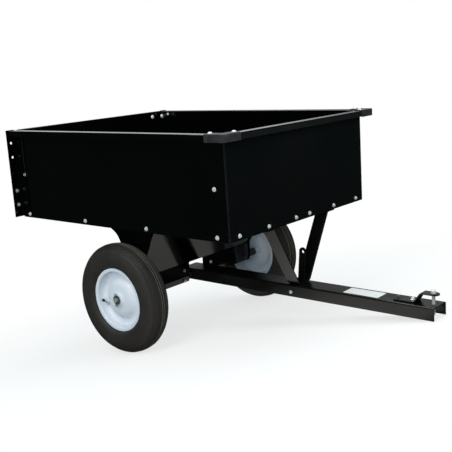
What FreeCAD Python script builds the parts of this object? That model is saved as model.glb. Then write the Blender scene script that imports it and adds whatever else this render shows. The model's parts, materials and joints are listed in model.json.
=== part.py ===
import FreeCAD, Part
import os
import re
import math
import Sketcher

# ---------------------------------------------------------------------------
# Two-wheeled steel tipping cart towed behind a lawn tractor.
#
# Cart frame (used inside the sketches): origin at the middle of the lower
# front edge of the bed, +X forward along the drawbar, +Y to the left, +Z up.
# The cart stands as it parks, with the nose of the drawbar on the ground, so
# every sub-part gets the same pitched placement about the axle.
# ---------------------------------------------------------------------------

doc = FreeCAD.newDocument("lawn_cart")
sheet = doc.addObject("Spreadsheet::Sheet", "sizes")

SIZES = [
    # bed
    ("bed_length", 1047.0), ("bed_width", 785.0), ("bed_height", 336.5),
    ("skin", 2.0), ("rim_width", 32.0), ("rim_lip", 21.0),
    ("floor_flange", 28.0), ("front_flange", 62.0), ("rear_fold", 20.0),
    ("corner_gap", 4.0),
    # corner caps
    ("cap_leg", 80.0), ("cap_skin", 2.5), ("cap_drop", 23.5), ("cap_round", 12.0),
    # rear posts and tailgate
    ("post_leg", 40.0), ("post_flange", 38.0), ("post_skin", 2.5),
    ("post_foot", 4.0), ("post_top", 338.5), ("hole_radius", 5.0), ("hole_inset", 20.5),
    ("hole_one", 51.0), ("hole_two", 105.0), ("hole_three", 235.0), ("hole_four", 289.0),
    ("guide_leg", 38.0), ("guide_stop", 22.0), ("guide_skin", 2.0), ("guide_face", 1022.5),
    ("gate_face", 1028.5), ("gate_depth", 11.0), ("gate_half", 384.0),
    ("gate_foot", 2.4), ("gate_top", 338.5),
    # axle and its support
    ("axle_back", 523.5), ("axle_drop", 254.4), ("axle_radius", 8.0), ("axle_half", 422.5),
    ("wall_skin", 2.5), ("wall_slope", 0.577), ("wall_bend", 202.0), ("wall_bottom", 256.0),
    ("wall_inner", 8.5), ("wall_half", 316.0), ("rear_wall_half", 250.0),
    ("wall_flange", 30.0), ("notch_half", 46.8), ("rear_notch", 58.0),
    ("trough_gap", 11.0), ("trough_top", 206.0), ("trough_fold", 256.0),
    ("trough_bottom", 279.0), ("trough_foot", 4.5),
    ("plate_skin", 2.5),
    # latch stand and lever
    ("stand_front", 4.0), ("stand_width", 50.0), ("stand_skin", 5.0),
    ("stand_base", 30.8), ("stand_drop", 227.2), ("stand_slope", 0.5859), ("stand_foot", 200.0),
    ("lever_back", 8.2), ("lever_width", 26.0), ("lever_skin", 6.0), ("lever_lean", 0.1),
    ("lever_top", 100.0), ("lever_foot", 263.0), ("lever_hole", 115.0), ("pivot_drop", 252.5),
    ("pivot_back", 35.0), ("lever_heel", 240.0),
    # drawbar
    ("bar_top", 227.5), ("bar_depth", 42.2), ("bar_half", 41.6), ("bar_skin", 3.0),
    ("bar_front", 499.0), ("bar_rear", 552.0), ("bar_bend", 5.0),
    ("strap_skin", 4.5), ("strap_half", 25.0), ("strap_rear", 350.0), ("strap_rise", 422.5),
    ("strap_fall", 442.6), ("strap_front", 497.5), ("strap_lift", 30.0), ("nose_half", 16.5),
    ("pin_front", 478.0), ("pin_radius", 5.5), ("pin_top", 182.0), ("pin_foot", 264.0),
    # wheels
    ("track_half", 378.0), ("tyre_radius", 199.0), ("tyre_half", 46.5),
    ("rim_radius", 114.7), ("rim_half", 33.7), ("rim_skin", 2.5), ("hub_radius", 14.0),
    ("hub_inner", 15.0), ("hub_outer", 32.5),
    ("valve_back", 75.0), ("valve_drop", 32.5), ("valve_out", 7.3),
    ("valve_radius", 3.4), ("valve_length", 33.0),
    # parking attitude
    ("park_pitch", 10.364), ("shift_x", 251.272),
]
VAL = {}
for row, (name, value) in enumerate(SIZES, start=1):
    sheet.set("A%d" % row, name)
    sheet.set("B%d" % row, repr(value))
    sheet.setAlias("B%d" % row, name)
    VAL[name] = value
doc.recompute()

ENV = dict(VAL)
ENV["sqrt"] = math.sqrt
WORD = re.compile(r"[A-Za-z_]+")


def number(expr):
    """Value of an expression written with the sheet's aliases."""
    if not isinstance(expr, str):
        return float(expr)
    total = WORD.sub(lambda mt: repr(ENV[mt.group(0)]) if mt.group(0) in VAL else mt.group(0), expr)
    return evaluate(total)


def evaluate(text):
    """Small arithmetic reader for + - * / ( ) and sqrt."""
    tokens = re.findall(r"sqrt|[0-9.]+(?:e-?[0-9]+)?|[-+*/()]", text)
    pos = [0]

    def peek():
        return tokens[pos[0]] if pos[0] < len(tokens) else None

    def take():
        pos[0] += 1
        return tokens[pos[0] - 1]

    def atom():
        tk = take()
        if tk == "(":
            res = total()
            take()
            return res
        if tk == "-":
            return -atom()
        if tk == "+":
            return atom()
        if tk == "sqrt":
            take()
            res = total()
            take()
            return math.sqrt(res)
        return float(tk)

    def product():
        res = atom()
        while peek() in ("*", "/"):
            if take() == "*":
                res *= atom()
            else:
                res /= atom()
        return res

    def total():
        res = product()
        while peek() in ("+", "-"):
            if take() == "+":
                res += product()
            else:
                res -= product()
        return res

    return total()


def bound(expr):
    """The same expression with each alias pointing at the sheet."""
    if not isinstance(expr, str):
        return repr(float(expr))
    return WORD.sub(lambda mt: "sizes." + mt.group(0) if mt.group(0) in VAL else mt.group(0), expr)


# Parked attitude: pitched nose-down about the axle, wheels on the ground.
PITCH = VAL["park_pitch"]
ROT = FreeCAD.Rotation(FreeCAD.Vector(0, 1, 0), PITCH)
AXLE = FreeCAD.Vector(-VAL["axle_back"], 0, -VAL["axle_drop"])
BASE = FreeCAD.Vector(-VAL["axle_back"] + VAL["shift_x"], 0, VAL["tyre_radius"]) - ROT.multVec(AXLE)
CART = FreeCAD.Placement(BASE, ROT)

PARTS = []


def place(obj, x=0.0, y=0.0, z=0.0, rot=None):
    """Give a finished sub-part its place in the cart and its parked pitch."""
    local = FreeCAD.Placement(FreeCAD.Vector(number(x), number(y), number(z)),
                              rot or FreeCAD.Rotation())
    obj.Placement = CART.multiply(local)


def keep(obj, label):
    obj.Label = label
    PARTS.append(obj)
    return obj


def origin_plane(body, role):
    for feature in body.Origin.OriginFeatures:
        if feature.Role == role:
            return feature
    raise RuntimeError(role)


def sketch_on(body, role, name, offset=None):
    sk = body.newObject("Sketcher::SketchObject", name)
    sk.AttachmentSupport = [(origin_plane(body, role), "")]
    sk.MapMode = "FlatFace"
    if offset is not None:
        sk.setExpression(".AttachmentOffset.Base.z", bound(offset))
    return sk


def outline(sk, points):
    """Closed outline. A point is (x, y); a list between two points holds the
    through-points of a spline that joins them."""
    nodes, splines = [], {}
    for item in points:
        if isinstance(item, list):
            splines[len(nodes) - 1] = item
        else:
            nodes.append(item)
    count = len(nodes)
    vec = [FreeCAD.Vector(number(a), number(b), 0) for a, b in nodes]
    ids = []
    for k in range(count):
        p, q = vec[k], vec[(k + 1) % count]
        if k in splines:
            curve = Part.BSplineCurve()
            inner = [FreeCAD.Vector(number(a), number(b), 0) for a, b in splines[k]]
            curve.interpolate([p] + inner + [q])
            ids.append(sk.addGeometry(curve, False))
        else:
            ids.append(sk.addGeometry(Part.LineSegment(p, q), False))
    for k in range(count):
        j = (k + 1) % count
        sk.addConstraint(Sketcher.Constraint("Coincident", ids[k], 2, ids[j], 1))
    for k in range(count):
        a, b = nodes[k]
        for kind, value, expr in (("DistanceX", vec[k].x, a), ("DistanceY", vec[k].y, b)):
            if abs(value) < 1e-9:
                partner = -2 if kind == "DistanceX" else -1
                sk.addConstraint(Sketcher.Constraint("PointOnObject", ids[k], 1, partner))
                continue
            if value > 0:
                con = Sketcher.Constraint(kind, -1, 1, ids[k], 1, value)
                text = bound(expr)
            else:
                con = Sketcher.Constraint(kind, ids[k], 1, -1, 1, -value)
                text = "-(" + bound(expr) + ")"
            idx = sk.addConstraint(con)
            if isinstance(expr, str):
                sk.setExpression("Constraints[%d]" % idx, text)
    return sk


def ring(sk, x, y, radius):
    """A full circle at (x, y)."""
    cx, cy, rad = number(x), number(y), number(radius)
    cid = sk.addGeometry(Part.Circle(FreeCAD.Vector(cx, cy, 0), FreeCAD.Vector(0, 0, 1), rad), False)
    idx = sk.addConstraint(Sketcher.Constraint("Radius", cid, rad))
    if isinstance(radius, str):
        sk.setExpression("Constraints[%d]" % idx, bound(radius))
    for kind, value, expr in (("DistanceX", cx, x), ("DistanceY", cy, y)):
        if abs(value) < 1e-9:
            partner = -2 if kind == "DistanceX" else -1
            sk.addConstraint(Sketcher.Constraint("PointOnObject", cid, 3, partner))
            continue
        if value > 0:
            con = Sketcher.Constraint(kind, -1, 1, cid, 3, value)
            text = bound(expr)
        else:
            con = Sketcher.Constraint(kind, cid, 3, -1, 1, -value)
            text = "-(" + bound(expr) + ")"
        idx = sk.addConstraint(con)
        if isinstance(expr, str):
            sk.setExpression("Constraints[%d]" % idx, text)
    return cid


def pad(body, sk, length, name="Pad", midplane=False, reverse=False):
    feat = body.newObject("PartDesign::Pad", name)
    feat.Profile = sk
    feat.Length = number(length)
    feat.setExpression("Length", bound(length))
    if midplane:
        feat.Midplane = True
    if reverse:
        feat.Reversed = True
    doc.recompute()
    return feat


def pocket(body, sk, length, name="Pocket", midplane=False, reverse=False):
    before = body.Shape.Volume
    feat = body.newObject("PartDesign::Pocket", name)
    feat.Profile = sk
    feat.Length = number(length)
    feat.setExpression("Length", bound(length))
    if midplane:
        feat.Midplane = True
    if reverse:
        feat.Reversed = True
    doc.recompute()
    if not body.Shape.Volume < before - 1e-6:
        raise RuntimeError("pocket removed nothing: " + body.Name + " " + name)
    return feat


def new_body(name):
    return doc.addObject("PartDesign::Body", name)


def profile_body(name, role, points, length, midplane=False, reverse=False, offset=None):
    body = new_body(name)
    sk = sketch_on(body, role, name + "_outline", offset)
    outline(sk, points)
    pad(body, sk, length, name + "_pad", midplane, reverse)
    return body


def box(name, dx, dy, dz, px, py, pz):
    """A Part::Box spanning dx, dy, dz from (px, py, pz)."""
    bx = doc.addObject("Part::Box", name)
    for prop, expr in (("Length", dx), ("Width", dy), ("Height", dz)):
        setattr(bx, prop, number(expr))
        bx.setExpression(prop, bound(expr))
    bx.Placement = FreeCAD.Placement(FreeCAD.Vector(number(px), number(py), number(pz)),
                                     FreeCAD.Rotation())
    for axis, expr in (("x", px), ("y", py), ("z", pz)):
        bx.setExpression(".Placement.Base." + axis, bound(expr))
    return bx


def fuse(name, items):
    obj = doc.addObject("Part::MultiFuse", name)
    obj.Shapes = items
    obj.Refine = True
    doc.recompute()
    return obj


def cylinder(name, radius, length, axis, px, py, pz):
    """A Part::Cylinder along a cart axis, starting at (px, py, pz)."""
    cy = doc.addObject("Part::Cylinder", name)
    cy.Radius = number(radius)
    cy.setExpression("Radius", bound(radius))
    cy.Height = number(length)
    cy.setExpression("Height", bound(length))
    turn = {"x": FreeCAD.Rotation(FreeCAD.Vector(0, 1, 0), 90),
            "y": FreeCAD.Rotation(FreeCAD.Vector(1, 0, 0), -90),
            "z": FreeCAD.Rotation()}[axis]
    cy.Placement = FreeCAD.Placement(FreeCAD.Vector(number(px), number(py), number(pz)), turn)
    return cy


def cut(name, base, tool):
    obj = doc.addObject("Part::Cut", name)
    obj.Base = base
    obj.Tool = tool
    doc.recompute()
    return obj


# ---------------------------------------------------------------------------
# Bed
# ---------------------------------------------------------------------------
# Floor: a tray with its flanges folded up along both sides and the front,
# open at the rear so that a load slides out.
tray = box("tray_block", "bed_length - skin - skin", "bed_width - 2*skin - 1", "floor_flange",
           "-(bed_length - skin)", "-(bed_width/2 - skin - 0.5)", 0)
hollow = box("tray_hollow", "bed_length", "bed_width - 4*skin - 1", "floor_flange",
             "-(bed_length + 2*skin)", "-(bed_width/2 - 2*skin - 0.5)", "skin")
keep(cut("bed_floor", tray, hollow), "bed_floor")
place(PARTS[-1])

# Side panels: one sheet each, with the top folded outward into a rim and a
# lip turned down, and the rear edge folded inward.
for side, sign in (("right", -1), ("left", 1)):
    def sy(expr):
        return expr if sign > 0 else "-(" + expr + ")"
    body = new_body("side_panel_" + side)
    sk = sketch_on(body, "YZ_Plane", "side_section_" + side)
    outline(sk, [
        (sy("bed_width/2 - skin"), 0), (sy("bed_width/2"), 0),
        (sy("bed_width/2"), "bed_height - skin"),
        (sy("bed_width/2 + rim_width - skin"), "bed_height - skin"),
        (sy("bed_width/2 + rim_width - skin"), "bed_height - rim_lip"),
        (sy("bed_width/2 + rim_width"), "bed_height - rim_lip"),
        (sy("bed_width/2 + rim_width"), "bed_height"),
        (sy("bed_width/2 - skin"), "bed_height"),
    ])
    pad(body, sk, "bed_length - corner_gap", "side_sheet_" + side, reverse=True)
    sk.setExpression(".AttachmentOffset.Base.z", "-" + bound("corner_gap"))
    sk2 = sketch_on(body, "XY_Plane", "rear_fold_outline_" + side)
    outline(sk2, [
        ("-(bed_length)", sy("bed_width/2 - skin/2")), ("-(bed_length - skin)", sy("bed_width/2 - skin/2")),
        ("-(bed_length - skin)", sy("bed_width/2 - rear_fold")), ("-(bed_length)", sy("bed_width/2 - rear_fold")),
    ])
    pad(body, sk2, "bed_height - skin", "rear_fold_" + side)
    keep(body, "side_panel_" + side)
    place(body)

# Front panel: the same section as the sides, with flanges folded back
# inside the side panels.
sheet_block = box("front_sheet", "skin", "bed_width - 2*skin - 1", "bed_height", "-(skin)",
                  "-(bed_width/2 - skin - 0.5)", 0)
rim_top = box("front_rim", "rim_width + skin", "bed_width - 2*skin - 1", "skin", "-(skin)",
              "-(bed_width/2 - skin - 0.5)", "bed_height - skin")
rim_lip = box("front_lip", "skin", "bed_width - 2*skin - 1", "rim_lip", "rim_width - skin",
              "-(bed_width/2 - skin - 0.5)", "bed_height - rim_lip")
items = [sheet_block, rim_top, rim_lip]
for side, sign in (("right", -1), ("left", 1)):
    start = "-(bed_width/2 - skin - 0.5)" if sign < 0 else "bed_width/2 - 2*skin - 0.5"
    items.append(box("front_fold_" + side, "front_flange", "skin",
                     "bed_height - floor_flange - 3*skin", "-(front_flange)", start,
                     "floor_flange + skin"))
keep(fuse("front_panel", items), "front_panel")
place(PARTS[-1])

# Corner caps: pressed covers over the two mitred front corners of the rim.
for side, sign in (("right", -1), ("left", 1)):
    def sy(expr):
        return expr if sign > 0 else "-(" + expr + ")"
    body = new_body("corner_cap_" + side)
    sk = sketch_on(body, "XY_Plane", "cap_outline_" + side, "bed_height + 0.2")
    outer_x = "rim_width + cap_skin"
    outer_y = "bed_width/2 + rim_width + cap_skin"
    outline(sk, [
        (outer_x, sy(outer_y + " - cap_leg")),
        (outer_x, sy(outer_y + " - cap_round")),
        [("rim_width + cap_skin - 3.515", sy(outer_y + " - 3.515"))],
        ("rim_width + cap_skin - cap_round", sy(outer_y)),
        ("rim_width + cap_skin - cap_leg", sy(outer_y)),
        ("rim_width + cap_skin - cap_leg", sy("bed_width/2 + 1")),
        (-1.0, sy("bed_width/2 + 1")),
        (1.0, sy("bed_width/2 - 1")),
        (1.0, sy(outer_y + " - cap_leg")),
    ])
    pad(body, sk, "cap_skin", "cap_top_" + side)
    sk2 = sketch_on(body, "XY_Plane", "cap_skirt_outline_" + side, "bed_height + 0.3")
    in_x = "rim_width + 0.3"
    in_y = "bed_width/2 + rim_width + 0.3"
    outline(sk2, [
        (outer_x, sy(outer_y + " - cap_leg")),
        (outer_x, sy(outer_y + " - cap_round")),
        [("rim_width + cap_skin - 3.515", sy(outer_y + " - 3.515"))],
        ("rim_width + cap_skin - cap_round", sy(outer_y)),
        ("rim_width + cap_skin - cap_leg", sy(outer_y)),
        ("rim_width + cap_skin - cap_leg", sy(in_y)),
        ("rim_width + 0.3 - cap_round", sy(in_y)),
        [("rim_width + 0.3 - 3.8", sy(in_y + " - 3.8"))],
        (in_x, sy(in_y + " - cap_round")),
        (in_x, sy(outer_y + " - cap_leg")),
    ])
    pad(body, sk2, "cap_drop", "cap_skirt_" + side, reverse=True)
    keep(body, "corner_cap_" + side)
    place(body)

# Rear posts: angles with one leg on the outside of the side panel and one
# flange turned outward, with four holes in a column.
for side, sign in (("right", -1), ("left", 1)):
    def sy(expr):
        return expr if sign > 0 else "-(" + expr + ")"
    body = new_body("rear_post_" + side)
    sk = sketch_on(body, "XY_Plane", "post_section_" + side, "post_foot")
    outline(sk, [
        ("-(bed_length + post_skin)", sy("bed_width/2 + 0.1")),
        ("-(bed_length - post_leg)", sy("bed_width/2 + 0.1")),
        ("-(bed_length - post_leg)", sy("bed_width/2 + post_skin")),
        ("-(bed_length)", sy("bed_width/2 + post_skin")),
        ("-(bed_length)", sy("bed_width/2 + post_flange")),
        ("-(bed_length + post_skin)", sy("bed_width/2 + post_flange")),
    ])
    pad(body, sk, "bed_height - rim_lip - post_foot - 1", "post_" + side)
    sk3 = sketch_on(body, "XY_Plane", "post_tab_section_" + side, "bed_height - rim_lip - 6")
    outline(sk3, [
        ("-(bed_length + post_skin)", sy("bed_width/2 + 0.1")),
        ("-(bed_length + 0.1)", sy("bed_width/2 + 0.1")),
        ("-(bed_length + 0.1)", sy("bed_width/2 + post_flange")),
        ("-(bed_length + post_skin)", sy("bed_width/2 + post_flange")),
    ])
    pad(body, sk3, "post_top - bed_height + rim_lip + 6", "post_tab_" + side)
    sk2 = sketch_on(body, "YZ_Plane", "post_holes_" + side, "-(bed_length - 5)")
    for mark in ("hole_one", "hole_two", "hole_three", "hole_four"):
        ring(sk2, sy("bed_width/2 + hole_inset"), mark, "hole_radius")
    pocket(body, sk2, 20, "post_drill_" + side)
    keep(body, "rear_post_" + side)
    place(body)

# Tailgate guides: angles inside the side panels, just in front of the gate.
for side, sign in (("right", -1), ("left", 1)):
    def sy(expr):
        return expr if sign > 0 else "-(" + expr + ")"
    body = profile_body("tailgate_guide_" + side, "XY_Plane", [
        ("-(guide_face)", sy("bed_width/2 - 2*skin - 0.6")),
        ("-(guide_face - guide_leg)", sy("bed_width/2 - 2*skin - 0.6")),
        ("-(guide_face - guide_leg)", sy("bed_width/2 - 2*skin - 0.6 - guide_skin")),
        ("-(guide_face - guide_skin)", sy("bed_width/2 - 2*skin - 0.6 - guide_skin")),
        ("-(guide_face - guide_skin)", sy("bed_width/2 - 2*skin - guide_stop")),
        ("-(guide_face)", sy("bed_width/2 - 2*skin - guide_stop")),
    ], "bed_height - skin - 8", offset="skin + 1")
    keep(body, "tailgate_guide_" + side)
    place(body)

# Tailgate: a pan folded rearward on all four edges.
gate_block = box("gate_block", "gate_depth", "2*gate_half", "gate_top - gate_foot",
                 "-(gate_face + gate_depth)", "-(gate_half)", "gate_foot")
gate_hollow = box("gate_hollow", "gate_depth", "2*gate_half - 2*skin", "gate_top - gate_foot - 2*skin",
                  "-(gate_face + gate_depth + skin)", "-(gate_half - skin)", "gate_foot + skin")
keep(cut("tailgate", gate_block, gate_hollow), "tailgate")
place(PARTS[-1])

# ---------------------------------------------------------------------------
# Axle support: a sloping front wall across the cart, a shorter rear wall, an
# end plate on each side and a folded trough that carries the axle.
# ---------------------------------------------------------------------------
def wall_points(sgn):
    """Section of a wall in X and Z: flange, slope, strip beside the axle."""
    def sx(expr):
        return "-(axle_back) + " + expr if sgn > 0 else "-(axle_back) - (" + expr + ")"
    # horizontal distance of the wall's outer face from the axle line
    top = "wall_inner + wall_skin + (wall_bend - wall_skin)*wall_slope"
    return [
        (sx("wall_inner"), "-(wall_bottom)"),
        (sx("wall_inner + wall_skin"), "-(wall_bottom)"),
        (sx("wall_inner + wall_skin"), "-(wall_bend)"),
        (sx(top), "-(wall_skin)"),
        (sx(top + " + wall_flange"), "-(wall_skin)"),
        (sx(top + " + wall_flange"), -0.1),
        (sx(top + " - wall_skin*0.7"), -0.1),
        (sx("wall_inner"), "-(wall_bend - wall_skin*0.7)"),
    ]


for label, sgn, half, open_half in (("front", 1, "wall_half", "notch_half"),
                                    ("rear", -1, "rear_wall_half", "rear_notch")):
    body = new_body("axle_support_" + label)
    sk = sketch_on(body, "XZ_Plane", "wall_section_" + label)
    outline(sk, wall_points(sgn))
    pad(body, sk, "2*" + half, "wall_" + label, midplane=True)
    # opening over the drawbar
    sk2 = sketch_on(body, "YZ_Plane", "notch_outline_" + label, "-(axle_back) - 60" if sgn > 0 else "-(axle_back) - 60")
    outline(sk2, [
        ("-(" + open_half + ")", "-(wall_bottom + 5)"), (open_half, "-(wall_bottom + 5)"),
        (open_half, "-(wall_bend + 8)"),
        [(open_half + " - 2.35", "-(wall_bend + 2.35)")],
        (open_half + " - 8", "-(wall_bend)"),
        ("-(" + open_half + " - 8)", "-(wall_bend)"),
        [("-(" + open_half + " - 2.35)", "-(wall_bend + 2.35)")],
        ("-(" + open_half + ")", "-(wall_bend + 8)"),
    ])
    pocket(body, sk2, 120, "notch_" + label, reverse=True)
    keep(body, "axle_support_" + label)
    place(body)

for side, sign in (("right", -1), ("left", 1)):
    # End plate with a hollow rear edge, bored for the axle.
    body = new_body("axle_end_plate_" + side)
    sk = sketch_on(body, "XZ_Plane", "plate_outline_" + side,
                   "-(wall_half + plate_skin + 0.2)" if sign > 0 else "wall_half + 0.2")
    outline(sk, [
        ("-(axle_back) + 99", -0.2), ("-(axle_back) + 99", -38.0),
        [("-(axle_back) + 94", -62.0), ("-(axle_back) + 84", -85.0)],
        ("-(axle_back) + 66", -118.0),
        ("-(axle_back) + 19", -201.0),
        ("-(axle_back) + 17", -262.0),
        [("-(axle_back) + 11", -276.0), ("-(axle_back)", -282.0), ("-(axle_back) - 11", -276.0)],
        ("-(axle_back) - 17", -262.0),
        ("-(axle_back) - 19", -201.0),
        ("-(axle_back) - 44", -132.0),
        [("-(axle_back) - 54", -92.0), ("-(axle_back) - 64", -62.0), ("-(axle_back) - 79", -41.0),
         ("-(axle_back) - 100", -26.0)],
        ("-(axle_back) - 130", -10.0),
        ("-(axle_back) - 136", -0.2),
    ])
    pad(body, sk, "plate_skin", "plate_" + side)
    sk2 = sketch_on(body, "XZ_Plane", "plate_bore_" + side,
                    "-(wall_half + 20)" if sign > 0 else "wall_half - 10")
    ring(sk2, "-(axle_back)", "-(axle_drop)", "axle_radius + 0.1")
    pocket(body, sk2, 40, "plate_drill_" + side, reverse=True)
    keep(body, "axle_end_plate_" + side)
    place(body)
    # Trough: sides beside the walls, folded in below the axle.
    body = new_body("axle_trough_" + side)
    sk = sketch_on(body, "XZ_Plane", "trough_section_" + side,
                   "-(wall_half - 0.5)" if sign > 0 else "notch_half")
    gap, outer = "(trough_gap + 0.1)", "(trough_gap + wall_skin)"
    outline(sk, [
        ("-(axle_back) + " + outer, "-(trough_top)"),
        ("-(axle_back) + " + outer, "-(trough_fold)"),
        ("-(axle_back) + trough_foot + wall_skin/2", "-(trough_bottom)"),
        ("-(axle_back) - trough_foot - wall_skin/2", "-(trough_bottom)"),
        ("-(axle_back) - " + outer, "-(trough_fold)"),
        ("-(axle_back) - " + outer, "-(trough_top)"),
        ("-(axle_back) - " + gap, "-(trough_top)"),
        ("-(axle_back) - " + gap, "-(trough_fold + 0.5)"),
        ("-(axle_back) - trough_foot", "-(trough_bottom - wall_skin)"),
        ("-(axle_back) + trough_foot", "-(trough_bottom - wall_skin)"),
        ("-(axle_back) + " + gap, "-(trough_fold + 0.5)"),
        ("-(axle_back) + " + gap, "-(trough_top)"),
    ])
    pad(body, sk, "wall_half - notch_half - 0.5", "trough_" + side)
    # the rear side starts further out, level with the rear wall's opening
    sk2 = sketch_on(body, "XZ_Plane", "trough_relief_" + side,
                    "-(rear_notch)" if sign > 0 else "notch_half - 5")
    outline(sk2, [
        ("-(axle_back) - trough_gap + 1", "-(trough_fold)"),
        ("-(axle_back) - trough_gap + 1", "-(trough_top) + 5"),
        ("-(axle_back) - trough_gap - 10", "-(trough_top) + 5"),
        ("-(axle_back) - trough_gap - 10", "-(trough_fold)"),
    ])
    pocket(body, sk2, "rear_notch - notch_half + 5", "trough_open_" + side, reverse=True)
    keep(body, "axle_trough_" + side)
    place(body)

# Axle: one round bar through both sides.
keep(cylinder("axle", "axle_radius", "2*axle_half", "y", "-(axle_back)", "-(axle_half)", "-(axle_drop)"), "axle")
doc.recompute()
PARTS[-1].Placement = CART.multiply(PARTS[-1].Placement)


def tube(name, inner, outer, y0, y1):
    """A sleeve on the axle between two distances from the centre."""
    body = new_body(name)
    sk = sketch_on(body, "XZ_Plane", name + "_section", "-(" + y1 + ")")
    ring(sk, "-(axle_back)", "-(axle_drop)", outer)
    ring(sk, "-(axle_back)", "-(axle_drop)", inner)
    pad(body, sk, "(" + y1 + ") - (" + y0 + ")", name + "_pad")
    return body


def side_span(sign, near, far):
    """Two distances from the centre plane as a span on one side."""
    return (near, far) if sign > 0 else ("-(" + far + ")", "-(" + near + ")")


for side, sign in (("right", -1), ("left", 1)):
    for label, near, far, outer in (
            ("axle_spacer_", "bar_half + 1", "notch_half - 0.2", "axle_radius + 8"),
            ("wheel_spacer_", "wall_half + plate_skin + 0.4", "track_half - hub_inner - 1", "axle_radius + 7"),
            ("axle_washer_", "track_half + hub_outer + 0.8", "track_half + hub_outer + 3.3", "axle_radius + 9")):
        y0, y1 = side_span(sign, near, far)
        keep(tube(label + side, "axle_radius + 0.05", outer, y0, y1), label + side)
        place(PARTS[-1])

# ---------------------------------------------------------------------------
# Latch stand: a flat bar bent into a V, standing on the drawbar.
# ---------------------------------------------------------------------------
ROOT = "sqrt(1 + stand_slope*stand_slope)"
half = [
    ("stand_base", "-(stand_drop)"),
    ("stand_base + (stand_drop - stand_skin)*stand_slope", "-(stand_skin)"),
    ("stand_foot", "-(stand_skin)"),
    ("stand_foot", -0.1),
    ("stand_base + stand_drop*stand_slope - stand_skin*" + ROOT, -0.1),
    ("stand_base + stand_skin*stand_slope - stand_skin*" + ROOT, "-(stand_drop - stand_skin)"),
]
body = new_body("latch_stand")
sk = sketch_on(body, "YZ_Plane", "stand_section", "-(stand_front + stand_width)")
outline(sk, half + [("-(" + a + ")", b) for a, b in reversed(half)])
pad(body, sk, "stand_width", "stand_bar")
sk2 = sketch_on(body, "XY_Plane", "stand_notch", "-(stand_drop + 5)")
LEAN = "lever_lean*(bar_top - lever_top - lever_width/2)"
notch_rear = "-(lever_back + lever_width/2 + 6.4 + " + LEAN + ")"
outline(sk2, [(notch_rear, -9.0), (5.0, -9.0), (5.0, 9.0), (notch_rear, 9.0)])
pocket(body, sk2, 20, "stand_slot", reverse=True)
keep(body, "latch_stand")
place(body)

# ---------------------------------------------------------------------------
# Drawbar: an inverted channel, bored for the axle, the latch pivot and the
# hitch pin, with a slot for the latch lever.
# ---------------------------------------------------------------------------
body = new_body("drawbar")
sk = sketch_on(body, "YZ_Plane", "drawbar_section", "-(bar_rear)")
low = "-(bar_top + bar_depth)"
outline(sk, [
    ("bar_half", low), ("bar_half", "-(bar_top + bar_bend)"),
    [("bar_half - 1.464", "-(bar_top + 1.464)")],
    ("bar_half - bar_bend", "-(bar_top)"), ("-(bar_half - bar_bend)", "-(bar_top)"),
    [("-(bar_half - 1.464)", "-(bar_top + 1.464)")],
    ("-(bar_half)", "-(bar_top + bar_bend)"), ("-(bar_half)", low),
    ("-(bar_half - bar_skin)", low), ("-(bar_half - bar_skin)", "-(bar_top + bar_bend)"),
    [("-(bar_half - bar_skin - 0.586)", "-(bar_top + bar_skin + 0.586)")],
    ("-(bar_half - bar_bend)", "-(bar_top + bar_skin)"), ("bar_half - bar_bend", "-(bar_top + bar_skin)"),
    [("bar_half - bar_skin - 0.586", "-(bar_top + bar_skin + 0.586)")],
    ("bar_half - bar_skin", "-(bar_top + bar_bend)"), ("bar_half - bar_skin", low),
])
pad(body, sk, "bar_front + bar_rear", "channel")
sk2 = sketch_on(body, "XZ_Plane", "cross_bores", "-(bar_half + 10)")
ring(sk2, "-(axle_back)", "-(axle_drop)", "axle_radius + 0.5")
ring(sk2, "-(pivot_back)", "-(pivot_drop)", 5.2)
pocket(body, sk2, "2*bar_half + 20", "cross_drill", reverse=True)
sk3 = sketch_on(body, "XY_Plane", "web_openings", "-(bar_top - 5)")
ring(sk3, "pin_front", 0, "pin_radius + 0.6")
slot_rear = "-(lever_back + lever_width/2 + 4.3 + " + LEAN + ")"
slot_front = "-(lever_back - lever_width/2 - 4 + " + LEAN + ")"
outline(sk3, [(slot_rear, -5.0), (slot_front, -5.0), (slot_front, 5.0), (slot_rear, 5.0)])
pocket(body, sk3, 15, "web_drill")
keep(body, "drawbar")
place(body)

# Latch lever: a flat bar with a rounded, bored top and a heel below the web
# that turns on a cross pin.
body = new_body("latch_lever")
sk = sketch_on(body, "XZ_Plane", "lever_outline", "-(lever_skin/2)")
hw = "lever_width/2"
outline(sk, [
    ("-(lever_back) + " + hw + " - lever_lean*(lever_foot - lever_top - " + hw + ")", "-(lever_foot)"),
    ("-(lever_back) + " + hw, "-(lever_top + " + hw + ")"),
    [("-(lever_back) + lever_width/2*0.7071", "-(lever_top + lever_width/2*0.2929)"),
     ("-(lever_back)", "-(lever_top)"),
     ("-(lever_back) - lever_width/2*0.7071", "-(lever_top + lever_width/2*0.2929)")],
    ("-(lever_back) - " + hw, "-(lever_top + " + hw + ")"),
    ("-(lever_back) - " + hw + " - lever_lean*(lever_heel - lever_top - " + hw + ")", "-(lever_heel)"),
    ("-(pivot_back + 10)", "-(lever_heel)"), ("-(pivot_back + 10)", "-(lever_foot)"),
])
pad(body, sk, "lever_skin", "lever_bar")
sk2 = sketch_on(body, "XZ_Plane", "lever_bores", "-(lever_skin)")
ring(sk2, "-(lever_back - 1.7)", "-(lever_hole)", 5.5)
ring(sk2, "-(pivot_back)", "-(pivot_drop)", 5.2)
pocket(body, sk2, "2*lever_skin", "lever_drill", reverse=True)
keep(body, "latch_lever")
place(body)

keep(cylinder("latch_pin", 5.0, "2*bar_half + 7", "y", "-(pivot_back)", "-(bar_half + 3.5)", "-(pivot_drop)"),
     "latch_pin")
doc.recompute()
PARTS[-1].Placement = CART.multiply(PARTS[-1].Placement)

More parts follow.
